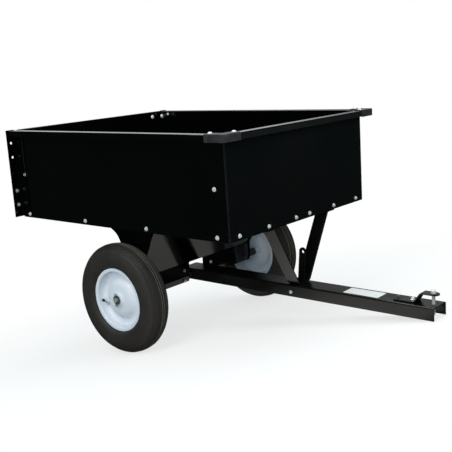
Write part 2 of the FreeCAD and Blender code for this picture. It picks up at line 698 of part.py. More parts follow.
# Hitch strap: a flat bar bolted on the drawbar and stepped up at the front,
# so that a tractor's drawbar plate fits between the two.
body = new_body("hitch_strap")
sk = sketch_on(body, "XZ_Plane", "strap_section")
top0 = "-(bar_top - strap_skin)"
outline(sk, [
    ("strap_rear", "-(bar_top - 0.1)"), ("strap_rise", "-(bar_top - 0.1)"),
    ("strap_fall", "-(bar_top - strap_lift)"), ("strap_front", "-(bar_top - strap_lift)"),
    ("strap_front", "-(bar_top - strap_lift - strap_skin)"),
    ("strap_fall - strap_skin*0.5", "-(bar_top - strap_lift - strap_skin)"),
    ("strap_rise - strap_skin*0.5", top0), ("strap_rear", top0),
])
pad(body, sk, "2*strap_half", "strap_bar", midplane=True)
sk2 = sketch_on(body, "XY_Plane", "strap_nose", "-(bar_top - strap_lift + 5)")
for sgn in ("", "-"):
    outline(sk2, [
        ("strap_rise - 8", sgn + "(strap_half)"),
        ("strap_fall - 4", sgn + "(nose_half)"),
        ("strap_front - nose_half", sgn + "(nose_half)"),
        [("strap_front - nose_half*0.6173", sgn + "(nose_half*0.9239)"),
         ("strap_front - nose_half*0.2929", sgn + "(nose_half*0.7071)"),
         ("strap_front - nose_half*0.0761", sgn + "(nose_half*0.3827)")],
        ("strap_front", 0.0),
        ("strap_front + 5", 0.0),
        ("strap_front + 5", sgn + "(strap_half + 5)"),
        ("strap_rise - 8", sgn + "(strap_half + 5)"),
    ])
pocket(body, sk2, 60, "nose_round", reverse=True)
sk3 = sketch_on(body, "XY_Plane", "strap_bore", "-(bar_top - strap_lift + 5)")
ring(sk3, "pin_front", 0, "pin_radius + 0.6")
pocket(body, sk3, 30, "strap_drill", reverse=True)
keep(body, "hitch_strap")
place(body)

# Hitch pin: a round pin with a collar that rests on the strap, and a head.
shank = cylinder("pin_shank", "pin_radius", "pin_foot - pin_top", "z", "pin_front", 0, "-(pin_foot)")
collar = cylinder("pin_collar", "pin_radius + 2.5", 3, "z", "pin_front", 0, "-(bar_top - strap_lift - strap_skin - 0.1)")
head = cylinder("pin_head", "pin_radius + 1.2", 4, "z", "pin_front", 0, "-(pin_top + 4)")
keep(fuse("hitch_pin", [shank, collar, head]), "hitch_pin")
PARTS[-1].Placement = CART.multiply(PARTS[-1].Placement)

# Wire ring around the neck of the pin, between its collar and its head.
ringo = doc.addObject("Part::Torus", "pin_ring")
ringo.Radius1 = 6.6
ringo.Radius2 = 1.2
doc.recompute()
keep(ringo, "pin_ring")
PARTS[-1].Placement = CART.multiply(FreeCAD.Placement(
    FreeCAD.Vector(VAL["pin_front"], 0, -VAL["pin_top"] - 5.2),
    FreeCAD.Rotation()))

# ---------------------------------------------------------------------------
# Wheels
# ---------------------------------------------------------------------------
def revolve_body(name, points, sign):
    """A turned piece on the wheel's centre line. Points are (radius,
    distance outboard of the wheel's centre plane)."""
    body = new_body(name)
    sk = sketch_on(body, "XY_Plane", name + "_section")
    outline(sk, points)
    feat = body.newObject("PartDesign::Revolution", name + "_turn")
    feat.Profile = sk
    feat.ReferenceAxis = (sk, ["V_Axis"])
    feat.Angle = 360.0
    doc.recompute()
    turn = FreeCAD.Rotation() if sign > 0 else FreeCAD.Rotation(FreeCAD.Vector(0, 0, 1), 180)
    place(body, "-(axle_back)", ("" if sign > 0 else "-") + "(track_half)", "-(axle_drop)", turn)
    return body


RIM = [
    ("rim_radius", "rim_half - rim_skin"), ("rim_radius", "rim_half"),
    ("rim_radius - 9.9", "rim_half"),
    [("rim_radius - 12.6", "rim_half - 1.6")],
    ("rim_radius - 13.7", "rim_half - 5.2"),
    ("rim_radius - 14.3", 19.5), ("rim_radius - 16.7", 14.0),
    [("rim_radius - 18.6", 8.6), ("rim_radius - 23.2", 5.2), ("rim_radius - 29.7", 4.2),
     ("rim_radius - 36.5", 5.4), ("rim_radius - 42.7", 10.0), ("rim_radius - 49.0", 16.0),
     ("rim_radius - 57.0", 20.6), ("rim_radius - 67.0", 23.2), ("rim_radius - 82.0", 24.6)],
    ("hub_radius + 0.1", 25.0),
    ("hub_radius + 0.1", 22.5),
    [("rim_radius - 82.0", 22.1), ("rim_radius - 67.4", 20.7), ("rim_radius - 57.9", 18.3),
     ("rim_radius - 50.5", 14.0), ("rim_radius - 44.3", 8.1), ("rim_radius - 37.5", 3.1),
     ("rim_radius - 29.7", 1.7), ("rim_radius - 22.3", 2.9)],
    ("rim_radius - 16.7", 1.0),
    ("rim_radius - 16.7", -14.0), ("rim_radius - 14.3", -19.5),
    ("rim_radius - 13.7", "-(rim_half - 5.2)"),
    [("rim_radius - 12.6", "-(rim_half - 1.6)")],
    ("rim_radius - 9.9", "-(rim_half)"), ("rim_radius", "-(rim_half)"),
    ("rim_radius", "-(rim_half - rim_skin)"), ("rim_radius - 8.7", "-(rim_half - rim_skin)"),
    ("rim_radius - 11.2", -27.5), ("rim_radius - 11.8", -19.0),
    ("rim_radius - 14.2", -14.0), ("rim_radius - 14.2", 14.0),
    ("rim_radius - 11.8", 19.0), ("rim_radius - 11.2", 27.5),
    ("rim_radius - 8.7", "rim_half - rim_skin"),
]
TYRE = [
    ("rim_radius - 10.9", 27.0), ("rim_radius - 8.5", "rim_half - rim_skin - 0.3"),
    ("rim_radius + 0.6", "rim_half - rim_skin - 0.3"),
    [("rim_radius + 3.5", "tyre_half - 10.5"), ("rim_radius + 10", "tyre_half - 4.5"),
     ("rim_radius + 20", "tyre_half - 1.2"), ("tyre_radius - 50", "tyre_half"),
     ("tyre_radius - 34", "tyre_half - 1.4"), ("tyre_radius - 20", "tyre_half - 6.0"),
     ("tyre_radius - 10", "tyre_half - 12.5")],
    ("tyre_radius - 5.5", "tyre_half - 18"),
    [("tyre_radius - 1.4", "tyre_half - 32"), ("tyre_radius", 0.0), ("tyre_radius - 1.4", "-(tyre_half - 32)")],
    ("tyre_radius - 5.5", "-(tyre_half - 18)"),
    [("tyre_radius - 10", "-(tyre_half - 12.5)"), ("tyre_radius - 20", "-(tyre_half - 6.0)"),
     ("tyre_radius - 34", "-(tyre_half - 1.4)"), ("tyre_radius - 50", "-(tyre_half)"),
     ("rim_radius + 20", "-(tyre_half - 1.2)"), ("rim_radius + 10", "-(tyre_half - 4.5)"),
     ("rim_radius + 3.5", "-(tyre_half - 10.5)")],
    ("rim_radius + 0.6", "-(rim_half - rim_skin - 0.3)"),
    ("rim_radius - 8.5", "-(rim_half - rim_skin - 0.3)"), ("rim_radius - 10.9", -27.0),
]
HUB = [
    ("axle_radius + 0.3", "-(hub_inner)"), ("hub_radius", "-(hub_inner)"),
    ("hub_radius", "hub_outer"), ("axle_radius + 0.3", "hub_outer"),
]
for side, sign in (("right", -1), ("left", 1)):
    keep(revolve_body("tyre_" + side, TYRE, sign), "tyre_" + side)
    keep(revolve_body("wheel_rim_" + side, RIM, sign), "wheel_rim_" + side)
    keep(revolve_body("wheel_hub_" + side, HUB, sign), "wheel_hub_" + side)
    # Valve: a rubber stem on a flat foot in the dish, leaning outboard and
    # up, with a round cap.
    foot = cylinder("valve_foot_" + side, "valve_radius + 3.2", 3.0, "z", 0, 0, 0)
    stem = cylinder("valve_stem_" + side, "valve_radius", "valve_length - 10", "z", 0, 0, 0)
    cap = cylinder("valve_cap_" + side, "valve_radius + 1.3", 12.0, "z", 0, 0, "valve_length - 12")
    valve = fuse("valve_" + side, [foot, stem, cap])
    keep(valve, "valve_" + side)
    lean = FreeCAD.Rotation(FreeCAD.Vector(0, 0, 1), FreeCAD.Vector(-0.356, 0.712 * sign, 0.605))
    place(valve, "-(axle_back + valve_back)", ("" if sign > 0 else "-") + "(track_half + valve_out)",
          "-(axle_drop + valve_drop)", lean)

# ---------------------------------------------------------------------------
# Check and write
# ---------------------------------------------------------------------------
doc.recompute()
bad = []
for obj in doc.Objects:
    if "Invalid" in obj.State or "Error" in obj.State:
        bad.append(obj.Name + " " + str(obj.State))
for obj in PARTS:
    shape = obj.Shape
    if shape.isNull() or not shape.isValid() or shape.Volume <= 0:
        bad.append(obj.Label + " has no valid shape")
if bad:
    raise RuntimeError("; ".join(bad))

os.makedirs("parts", exist_ok=True)
low = [1e9] * 3
high = [-1e9] * 3
for obj in PARTS:
    shape = obj.Shape
    shape.exportStep(os.path.join("parts", obj.Label + ".step"))
    bb = shape.BoundBox
    for k, (a, b) in enumerate(((bb.XMin, bb.XMax), (bb.YMin, bb.YMax), (bb.ZMin, bb.ZMax))):
        low[k] = min(low[k], a)
        high[k] = max(high[k], b)
    print("%-24s solids %d  volume %9.0f mm3" % (obj.Label, len(shape.Solids), shape.Volume))
print("box", [round(v, 2) for v in low], [round(v, 2) for v in high])
print("middle x", round((low[0] + high[0]) / 2, 3))
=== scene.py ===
import json
import math
import random

import bpy
import bmesh
from mathutils import Matrix, Vector
from mathutils import noise as mnoise


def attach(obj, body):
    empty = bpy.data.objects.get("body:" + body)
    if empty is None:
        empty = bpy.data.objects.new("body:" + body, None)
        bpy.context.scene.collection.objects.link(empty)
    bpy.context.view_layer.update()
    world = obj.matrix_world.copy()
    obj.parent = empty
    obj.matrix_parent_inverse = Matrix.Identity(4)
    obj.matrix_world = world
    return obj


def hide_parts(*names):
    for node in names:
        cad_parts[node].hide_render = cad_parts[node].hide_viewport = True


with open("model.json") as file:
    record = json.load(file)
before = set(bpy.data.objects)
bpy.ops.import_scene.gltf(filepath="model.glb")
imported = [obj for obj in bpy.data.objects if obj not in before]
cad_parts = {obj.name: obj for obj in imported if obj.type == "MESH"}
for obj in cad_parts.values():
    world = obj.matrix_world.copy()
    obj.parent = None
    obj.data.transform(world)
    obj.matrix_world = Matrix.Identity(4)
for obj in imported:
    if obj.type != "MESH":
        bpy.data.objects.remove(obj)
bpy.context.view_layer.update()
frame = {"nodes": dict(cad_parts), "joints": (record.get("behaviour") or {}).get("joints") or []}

scene = bpy.context.scene
random.seed(7)

# ---------------------------------------------------------------------------
# Cart frame in millimetres: origin at the middle of the bed's lower front
# edge, +X forward, +Y left, +Z up. The frame's joints say how it is parked.
# ---------------------------------------------------------------------------
JOINT = {j["name"]: j for j in frame["joints"]}
CART_UP = Vector(JOINT["tailgate_slide"]["axis"]).normalized()
AXLE_ROW = Vector(JOINT["bed_tip"]["pos_m"])
AXLE = Vector((-523.5, 0.0, -254.4))
TURN = Matrix(((CART_UP.z, 0.0, CART_UP.x), (0.0, 1.0, 0.0), (-CART_UP.x, 0.0, CART_UP.z)))
CART = Matrix.Translation(AXLE_ROW - TURN @ (AXLE * 0.001)) @ (TURN @ Matrix.Scale(0.001, 3)).to_4x4()


def cart_point(x, y, z):
    return CART @ Vector((x, y, z))


# ---------------------------------------------------------------------------
# Materials
# ---------------------------------------------------------------------------
class Mat:
    """A node material with a few short cuts."""

    def __init__(self, name):
        self.mat = bpy.data.materials.new(name)
        self.mat.use_nodes = True
        self.tree = self.mat.node_tree
        self.tree.nodes.clear()
        self.out = self.add("ShaderNodeOutputMaterial")
        self.bsdf = self.add("ShaderNodeBsdfPrincipled")
        self.link(self.bsdf.outputs["BSDF"], self.out.inputs["Surface"])
        self.coord = self.add("ShaderNodeTexCoord")

    def add(self, kind, **props):
        node = self.tree.nodes.new(kind)
        for key, value in props.items():
            setattr(node, key, value)
        return node

    def link(self, a, b):
        self.tree.links.new(a, b)

    def noise(self, scale, detail=2.0, rough=0.5, stretch=None, distortion=0.0):
        node = self.add("ShaderNodeTexNoise")
        node.inputs["Scale"].default_value = scale
        node.inputs["Detail"].default_value = detail
        node.inputs["Roughness"].default_value = rough
        node.inputs["Distortion"].default_value = distortion
        src = self.coord.outputs["Object"]
        if stretch is not None:
            mapping = self.add("ShaderNodeMapping")
            mapping.inputs["Scale"].default_value = stretch
            self.link(src, mapping.inputs["Vector"])
            src = mapping.outputs["Vector"]
        self.link(src, node.inputs["Vector"])
        return node.outputs["Fac"]

    def voronoi(self, scale, feature="F1"):
        node = self.add("ShaderNodeTexVoronoi", feature=feature)
        node.inputs["Scale"].default_value = scale
        self.link(self.coord.outputs["Object"], node.inputs["Vector"])
        return node.outputs["Distance"]

    def remap(self, src, a, b, lo, hi, smooth=False):
        node = self.add("ShaderNodeMapRange")
        if smooth:
            node.interpolation_type = "SMOOTHSTEP"
        for key, value in (("From Min", a), ("From Max", b), ("To Min", lo), ("To Max", hi)):
            node.inputs[key].default_value = value
        self.link(src, node.inputs["Value"])
        return node.outputs["Result"]

    def math(self, op, a, b):
        node = self.add("ShaderNodeMath", operation=op)
        for k, v in enumerate((a, b)):
            if isinstance(v, (int, float)):
                node.inputs[k].default_value = v
            else:
                self.link(v, node.inputs[k])
        return node.outputs[0]

    def mix(self, fac, a, b):
        node = self.add("ShaderNodeMix", data_type="RGBA")
        self.link(fac, node.inputs["Factor"])
        for sock, v in ((node.inputs[6], a), (node.inputs[7], b)):
            if isinstance(v, (tuple, list)):
                sock.default_value = (*v[:3], 1.0)
            else:
                self.link(v, sock)
        return node.outputs[2]

    def bump(self, layers):
        """Chained bumps: (height, strength, distance)."""
        last = None
        for height, strength, distance in layers:
            node = self.add("ShaderNodeBump")
            node.inputs["Strength"].default_value = strength
            node.inputs["Distance"].default_value = distance
            self.link(height, node.inputs["Height"])
            if last is not None:
                self.link(last, node.inputs["Normal"])
            last = node.outputs["Normal"]
        self.link(last, self.bsdf.inputs["Normal"])

    def set(self, **values):
        for key, value in values.items():
            name = key.replace("_", " ")
            sock = self.bsdf.inputs[name]
            if isinstance(value, (tuple, list)) and len(value) == 3:
                value = (*value, 1.0)
            sock.default_value = value


def enamel(name, dark, light, rough_lo, rough_hi, peel=0.10, wave=0.25, dust=(0.030, 0.030, 0.029), dust_amount=0.10,
           grain=3.5):
    """Glossy sprayed enamel: slow waves of thin sheet, fine orange peel,
    faint cloudy polish and a little dust."""
    m = Mat(name)
    m.set(Metallic=0.0, IOR=1.5)
    m.bsdf.inputs["Specular IOR Level"].default_value = 0.5
    cloud = m.noise(grain, 4.0, 0.6)
    base = m.mix(m.remap(cloud, 0.3, 0.7, 0.0, 1.0), dark, light)
    film = m.noise(9.0, 5.0, 0.62)
    speck = m.noise(420.0, 2.0, 0.6)
    settle = m.math("MULTIPLY", m.remap(film, 0.50, 0.78, 0.0, 1.0), m.remap(speck, 0.52, 0.70, 0.15, 1.0))
    settle = m.math("MULTIPLY", settle, dust_amount)
    m.link(m.mix(settle, base, dust), m.bsdf.inputs["Base Color"])
    smear = m.noise(14.0, 3.0, 0.55, stretch=(1.0, 1.0, 2.4))
    rough = m.remap(smear, 0.3, 0.7, rough_lo, rough_hi)
    rough = m.math("ADD", rough, m.math("MULTIPLY", settle, 0.8))
    m.link(rough, m.bsdf.inputs["Roughness"])
    m.bump([
        (m.noise(2.6, 2.0, 0.45), wave, 0.010),
        (m.noise(260.0, 2.0, 0.5), peel, 0.0004),
    ])
    return m.mat


def zinc(name, tint_a, tint_b, rough_lo=0.22, rough_hi=0.40, metal=1.0):
    """Bright zinc plate with a faint yellow-green passivation."""
    m = Mat(name)
    m.set(Metallic=metal)
    patch = m.noise(60.0, 3.0, 0.6)
    cells = m.voronoi(300.0)
    col = m.mix(m.remap(patch, 0.35, 0.65, 0.0, 1.0), tint_a, tint_b)
    col = m.mix(m.remap(cells, 0.0, 0.9, 0.0, 0.25), col, (0.30, 0.30, 0.27))
    m.link(col, m.bsdf.inputs["Base Color"])
    m.link(m.remap(m.noise(150.0, 3.0, 0.6), 0.3, 0.7, rough_lo, rough_hi), m.bsdf.inputs["Roughness"])
    m.bump([(m.noise(500.0, 2.0, 0.5), 0.15, 0.0003)])
    return m.mat


def rubber(name, dark, light, rough_lo, rough_hi, fine=700.0, bump=0.25):
    """Moulded rubber: mould skin texture, bloom and dusty patches."""
    m = Mat(name)
    m.set(Metallic=0.0)
    m.bsdf.inputs["Specular IOR Level"].default_value = 0.42
    bloom = m.noise(7.0, 5.0, 0.65)
    scuff = m.noise(38.0, 4.0, 0.6)
    col = m.mix(m.remap(bloom, 0.32, 0.70, 0.0, 1.0), dark, light)
    col = m.mix(m.remap(scuff, 0.58, 0.80, 0.0, 0.35), col, tuple(c * 1.9 for c in light))
    m.link(col, m.bsdf.inputs["Base Color"])
    m.link(m.remap(scuff, 0.3, 0.7, rough_lo, rough_hi), m.bsdf.inputs["Roughness"])
    m.bump([
        (m.noise(90.0, 3.0, 0.5), bump * 0.6, 0.0012),
        (m.noise(fine, 2.0, 0.6), bump, 0.0004),
    ])
    return m.mat


BLACK = enamel("black_enamel", (0.0006, 0.0007, 0.0007), (0.0011, 0.0012, 0.0012), 0.10, 0.17, peel=0.10, wave=0.14,
               dust=(0.010, 0.012, 0.012), dust_amount=0.05)
# Front panel's outer face: a lighter, blue-green copy of the black enamel, painted light for how that face is lit.
BLACK_FRONT_LIT = enamel("black_enamel_front_painted_light", (0.0017, 0.0024, 0.0028), (0.0040, 0.0041, 0.0040), 0.10, 0.17, peel=0.10, wave=0.12,
                     dust=(0.012, 0.014, 0.014), dust_amount=0.06, grain=2.0)
BLACK_DULL = enamel("black_enamel_dull", (0.0008, 0.0010, 0.0010), (0.0016, 0.0019, 0.0019), 0.50, 0.64, peel=0.2, wave=0.05,
                    dust=(0.006, 0.006, 0.006), dust_amount=0.05)
BLACK_DULL.node_tree.nodes["Principled BSDF"].inputs["Specular IOR Level"].default_value = 0.12
# Rounded front corners: a lighter copy of the black enamel, a painted highlight.
BLACK_CORNER_HIGHLIGHT = enamel("black_enamel_corner_painted_highlight", (0.0044, 0.0048, 0.0054), (0.0066, 0.0070, 0.0078), 0.24, 0.36, peel=0.14,
                      wave=0.05, dust=(0.03, 0.03, 0.03), dust_amount=0.10)
# Front rim's lip: a lighter copy of the black enamel, painted light so the lip reads lighter than the face below.
BLACK_LIP_LIT = enamel("black_enamel_lip_painted_light", (0.0052, 0.0064, 0.0056), (0.0082, 0.0100, 0.0088), 0.22, 0.34, peel=0.14, wave=0.10,
                   dust=(0.020, 0.021, 0.019), dust_amount=0.12)
# Corner caps' rounded corners and rear posts' front edges: a much lighter copy of the enamel, a painted highlight.
BLACK_EDGE_HIGHLIGHT = enamel("black_enamel_edge_painted_highlight", (0.0170, 0.0155, 0.0135), (0.0300, 0.0275, 0.0240), 0.30, 0.44, peel=0.14, wave=0.05,
                    dust=(0.05, 0.048, 0.044), dust_amount=0.14)
BLACK_BAR = enamel("black_enamel_heavy", (0.0026, 0.0025, 0.0023), (0.0050, 0.0048, 0.0045), 0.17, 0.27,
                   peel=0.18, wave=0.08, dust=(0.022, 0.021, 0.019), dust_amount=0.14)
BLACK_CAP = enamel("black_enamel_cap", (0.0110, 0.0112, 0.0115), (0.0330, 0.0330, 0.0335), 0.34, 0.50, peel=0.30,
                   wave=0.06, dust=(0.06, 0.06, 0.06), dust_amount=0.18, grain=55.0)
WHITE = enamel("white_enamel", (0.65, 0.685, 0.755), (0.72, 0.755, 0.815), 0.26, 0.36, peel=0.16, wave=0.06,
               dust=(0.44, 0.47, 0.50), dust_amount=0.05)
ZINC = zinc("zinc_plate", (0.92, 0.925, 0.91), (0.84, 0.845, 0.83), 0.26, 0.40, metal=0.45)
ZINC_DULL = zinc("zinc_plate_dull", (0.16, 0.185, 0.16), (0.085, 0.105, 0.090), 0.34, 0.50, metal=0.6)
# Mid zinc: the axle's own duller tone, and on some bolt heads a darker copy of the zinc plate that is painted shade.
ZINC_MID = zinc("zinc_plate_mid", (0.44, 0.46, 0.44), (0.30, 0.34, 0.31), 0.32, 0.46, metal=0.35)
# Valve neck: a bluish, darkened copy of the zinc plate, painted shade and painted bluish reflection.
NECK_SHADED = zinc("valve_neck_painted_shade", (0.40, 0.46, 0.56), (0.33, 0.39, 0.48), 0.34, 0.48, metal=0.3)
STEEL_DARK = zinc("zinc_plate_dark", (0.010, 0.011, 0.011), (0.005, 0.006, 0.006), 0.46, 0.60, metal=0.0)
STEEL_DARK.node_tree.nodes["Principled BSDF"].inputs["Specular IOR Level"].default_value = 0.10
TYRE_MAT = rubber("tyre_rubber", (0.0215, 0.0195, 0.0170), (0.0305, 0.0279, 0.0243), 0.50, 0.70)
# Lighter rubber on a few rib tops: wear, and a painted highlight where those ribs face the light.
TYRE_RIB_WEAR_HIGHLIGHT = rubber("tyre_rubber_wear_and_highlight", (0.100, 0.096, 0.078), (0.150, 0.143, 0.115), 0.60, 0.80)
VALVE_MAT = rubber("valve_rubber", (0.010, 0.011, 0.013), (0.017, 0.018, 0.021), 0.34, 0.50, fine=900.0, bump=0.12)


def label_film():
    m = Mat("label_film")
    m.set(Metallic=0.0)
    patch = m.noise(45.0, 3.0, 0.6)
    m.link(m.mix(m.remap(patch, 0.35, 0.65, 0.0, 1.0), (0.74, 0.73, 0.715), (0.80, 0.795, 0.785)),
           m.bsdf.inputs["Base Color"])
    m.link(m.remap(m.noise(120.0, 2.0, 0.5), 0.3, 0.7, 0.34, 0.46), m.bsdf.inputs["Roughness"])
    m.bump([(m.noise(220.0, 3.0, 0.6), 0.12, 0.0004)])
    return m.mat


LABEL = label_film()


# ---------------------------------------------------------------------------
# Mesh tools (cart frame, millimetres)
# ---------------------------------------------------------------------------
def soften(mesh, angle_deg):
    """Smooth shading, with edges sharper than the angle kept crisp."""
    bm = bmesh.new()
    bm.from_mesh(mesh)
    limit = math.radians(angle_deg)
    for f in bm.faces:
        f.smooth = True
    for e in bm.edges:
        if len(e.link_faces) == 2:
            e.smooth = e.calc_face_angle(0.0) < limit
        else:
            e.smooth = False
    bm.to_mesh(mesh)
    bm.free()


def finish_piece(name, bm, material, body, replaces=(), bevel=None, angle=32.0, placed=False,
                 segments=2, bevel_angle=40.0):
    """Turns a bmesh in the cart frame into a piece in the row frame."""
    if not placed:
        bmesh.ops.transform(bm, matrix=CART, verts=bm.verts)
    bmesh.ops.recalc_face_normals(bm, faces=bm.faces)
    mesh = bpy.data.meshes.new(name)
    bm.to_mesh(mesh)
    bm.free()
    mesh.materials.append(material)
    obj = bpy.data.objects.new(name, mesh)
    scene.collection.objects.link(obj)
    if bevel:
        mod = obj.modifiers.new("edge", "BEVEL")
        mod.width = bevel * 0.001
        mod.segments = segments
        mod.limit_method = "ANGLE"
        mod.angle_limit = math.radians(bevel_angle)
        mod.use_clamp_overlap = True
        bake(obj)
    soften(obj.data, angle)
    if bevel:
        # large faces keep their own normal, so only the edges turn
        mod = obj.modifiers.new("faces_flat", "WEIGHTED_NORMAL")
        mod.mode = "FACE_AREA"
        mod.weight = 100
        mod.keep_sharp = True
        bake(obj)
    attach(obj, body)
    if replaces:
        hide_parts(*replaces)
    return obj


def bake(obj):
    """Applies the modifiers."""
    deps = bpy.context.evaluated_depsgraph_get()
    bpy.context.view_layer.update()
    new = bpy.data.meshes.new_from_object(obj.evaluated_get(deps))
    old = obj.data
    obj.modifiers.clear()
    obj.data = new
    bpy.data.meshes.remove(old)


def paint(obj, material, test):
    """Gives the faces that pass the test (centre and normal in the cart frame) another material; the script uses it for
    second finishes and for painted highlights and painted light."""
    back = CART.inverted()
    turn = back.to_3x3()
    obj.data.materials.append(material)
    index = len(obj.data.materials) - 1
    for poly in obj.data.polygons:
        if test(back @ poly.center, (turn @ poly.normal).normalized()):
            poly.material_index = index
    return obj


def fillet(points, radius, steps=6, closed=False):
    """A 2D polyline with its corners rounded."""
    pts = [Vector(p) for p in points]
    radii = radius if isinstance(radius, (list, tuple)) else [radius] * len(pts)
    count = len(pts)
    out = []
    for k in range(count):
        if not closed and k in (0, count - 1):
            out.append(pts[k])
            continue
        a, b, c = pts[k - 1], pts[k], pts[(k + 1) % count]
        u, v = (a - b).normalized(), (c - b).normalized()
        cosang = max(-1.0, min(1.0, u.dot(v)))
        ang = math.acos(cosang)
        r = radii[k]
        if r <= 0 or ang > math.pi - 1e-3:
            out.append(b)
            continue
        cut = min(r / math.tan(ang / 2), 0.49 * (a - b).length, 0.49 * (c - b).length)
        r = cut * math.tan(ang / 2)
        centre = b + (u + v).normalized() * (r / math.sin(ang / 2))
        start = b + u * cut - centre
        end = b + v * cut - centre
        sweep = math.atan2(start.x * end.y - start.y * end.x, start.dot(end))
        for i in range(steps + 1):
            t = sweep * i / steps
            ca, sa = math.cos(t), math.sin(t)
            out.append(centre + Vector((start.x * ca - start.y * sa, start.x * sa + start.y * ca)))
    return out


def densify(path, step):
    out = [path[0]]
    for a, b in zip(path[:-1], path[1:]):
        n = max(1, int(math.ceil((b - a).length / step)))
        for i in range(1, n + 1):
            out.append(a.lerp(b, i / n))
    return out


def sides(path, thick):
    """Both faces of a sheet that follows the path."""
    pairs = []
    n = len(path)
    for k, p in enumerate(path):
        if k == 0:
            t = path[1] - path[0]
        elif k == n - 1:
            t = path[-1] - path[-2]
        else:
            t = (path[k] - path[k - 1]).normalized() + (path[k + 1] - path[k]).normalized()
        t.normalize()
        nrm = Vector((-t.y, t.x))
        pairs.append((p + nrm * (thick / 2), p - nrm * (thick / 2)))
    return pairs


def sheet_strip(bm, path, thick, spans, place):
    """A folded sheet: path is its 2D section, spans the positions along the
    fold, and place(u, v, s) gives the cart point."""
    pairs = sides(path, thick)
    rows = []
    for s in spans:
        left = [bm.verts.new(place(a.x, a.y, s)) for a, b in pairs]
        right = [bm.verts.new(place(b.x, b.y, s)) for a, b in pairs]
        rows.append((left, right))
    for (l0, r0), (l1, r1) in zip(rows[:-1], rows[1:]):
        for i in range(len(pairs) - 1):
            bm.faces.new((l0[i], l0[i + 1], l1[i + 1], l1[i]))
            bm.faces.new((r0[i + 1], r0[i], r1[i], r1[i + 1]))
        bm.faces.new((l0[0], l1[0], r1[0], r0[0]))
        bm.faces.new((l0[-1], r0[-1], r1[-1], l1[-1]))
    for l, r in (rows[0], rows[-1]):
        for i in range(len(pairs) - 1):
            bm.faces.new((l[i], l[i + 1], r[i + 1], r[i]))
    return bm


def prism(bm, outline, z0, z1, place):
    """A closed outline pushed from z0 to z1."""
    low = [bm.verts.new(place(p[0], p[1], z0)) for p in outline]
    high = [bm.verts.new(place(p[0], p[1], z1)) for p in outline]
    bm.faces.new(low[::-1])
    bm.faces.new(high)
    n = len(outline)
    for i in range(n):
        j = (i + 1) % n
        bm.faces.new((low[i], low[j], high[j], high[i]))
    return bm


def block(bm, lo, hi):
    return prism(bm, [(lo[0], lo[1]), (hi[0], lo[1]), (hi[0], hi[1]), (lo[0], hi[1])], lo[2], hi[2],
                 lambda u, v, s: Vector((u, v, s)))


def turned(bm, profile, matrix, count, closed=True):
    """A turned solid: profile is (radius, height), turned about the local Z
    of the matrix. A closed profile is a ring; an open one ends on the axis."""
    rings = []
    for r, h in profile:
        if r < 1e-6:
            rings.append([bm.verts.new(matrix @ Vector((0, 0, h)))])
        else:
            rings.append([bm.verts.new(matrix @ Vector((r * math.cos(2 * math.pi * k / count),
                                                        r * math.sin(2 * math.pi * k / count), h)))
                          for k in range(count)])
    pairs = list(zip(rings, rings[1:]))
    if closed:
        pairs.append((rings[-1], rings[0]))
    for a, b in pairs:
        for k in range(count):
            j = (k + 1) % count
            if len(a) == 1 and len(b) == 1:
                continue
            if len(a) == 1:
                bm.faces.new((a[0], b[j], b[k]))
            elif len(b) == 1:
                bm.faces.new((a[k], a[j], b[0]))
            else:
                bm.faces.new((a[k], a[j], b[j], b[k]))
    return bm


def along(point, direction, spin=0.0):
    """Matrix whose Z is the direction, at the point."""
    d = Vector(direction).normalized()
    quat = d.to_track_quat("Z", "Y")
    return Matrix.Translation(Vector(point)) @ quat.to_matrix().to_4x4() @ Matrix.Rotation(spin, 4, "Z")


def carve(target, cutters):
    """Cuts bmesh cutters (cart frame) out of a bmesh in the cart frame."""
    base = bpy.data.meshes.new("carve_base")
    bmesh.ops.recalc_face_normals(target, faces=target.faces)
    target.to_mesh(base)
    target.free()
    tool = bpy.data.meshes.new("carve_tool")
    both = bmesh.new()
    for cutter in cutters:
        bmesh.ops.recalc_face_normals(cutter, faces=cutter.faces)
        tmp = bpy.data.meshes.new("tmp")
        cutter.to_mesh(tmp)
        cutter.free()
        both.from_mesh(tmp)
        bpy.data.meshes.remove(tmp)
    both.to_mesh(tool)
    both.free()
    a = bpy.data.objects.new("carve_a", base)
    b = bpy.data.objects.new("carve_b", tool)
    scene.collection.objects.link(a)
    scene.collection.objects.link(b)
    mod = a.modifiers.new("cut", "BOOLEAN")
    mod.operation = "DIFFERENCE"
    mod.solver = "EXACT"
    mod.use_self = True
    mod.object = b
    bpy.context.view_layer.update()
    deps = bpy.context.evaluated_depsgraph_get()
    got = bpy.data.meshes.new_from_object(a.evaluated_get(deps))
    out = bmesh.new()
    out.from_mesh(got)
    bpy.data.objects.remove(a)
    bpy.data.objects.remove(b)
    for mesh in (base, tool, got):
        bpy.data.meshes.remove(mesh)
    bmesh.ops.remove_doubles(out, verts=out.verts, dist=0.01)
    return out


def rod(point, direction, radius, length, count=28):
    """A plain closed cylinder, used as a cutter, centred on the point."""
    bm = bmesh.new()
    m = along(point, direction)
    low = [bm.verts.new(m @ Vector((radius * math.cos(2 * math.pi * k / count),
                                    radius * math.sin(2 * math.pi * k / count), -length / 2))) for k in range(count)]
    high = [bm.verts.new(m @ Vector((radius * math.cos(2 * math.pi * k / count),
                                     radius * math.sin(2 * math.pi * k / count), length / 2))) for k in range(count)]
    bm.faces.new(low[::-1])
    bm.faces.new(high)
    for k in range(count):
        j = (k + 1) % count
        bm.faces.new((low[k], low[j], high[j], high[k]))
    return bm


def brick(lo, hi):
    bm = bmesh.new()
    block(bm, lo, hi)
    return bm


def linspan(a, b, step):
    n = max(1, int(math.ceil(abs(b - a) / step)))
    return [a + (b - a) * i / n for i in range(n + 1)]


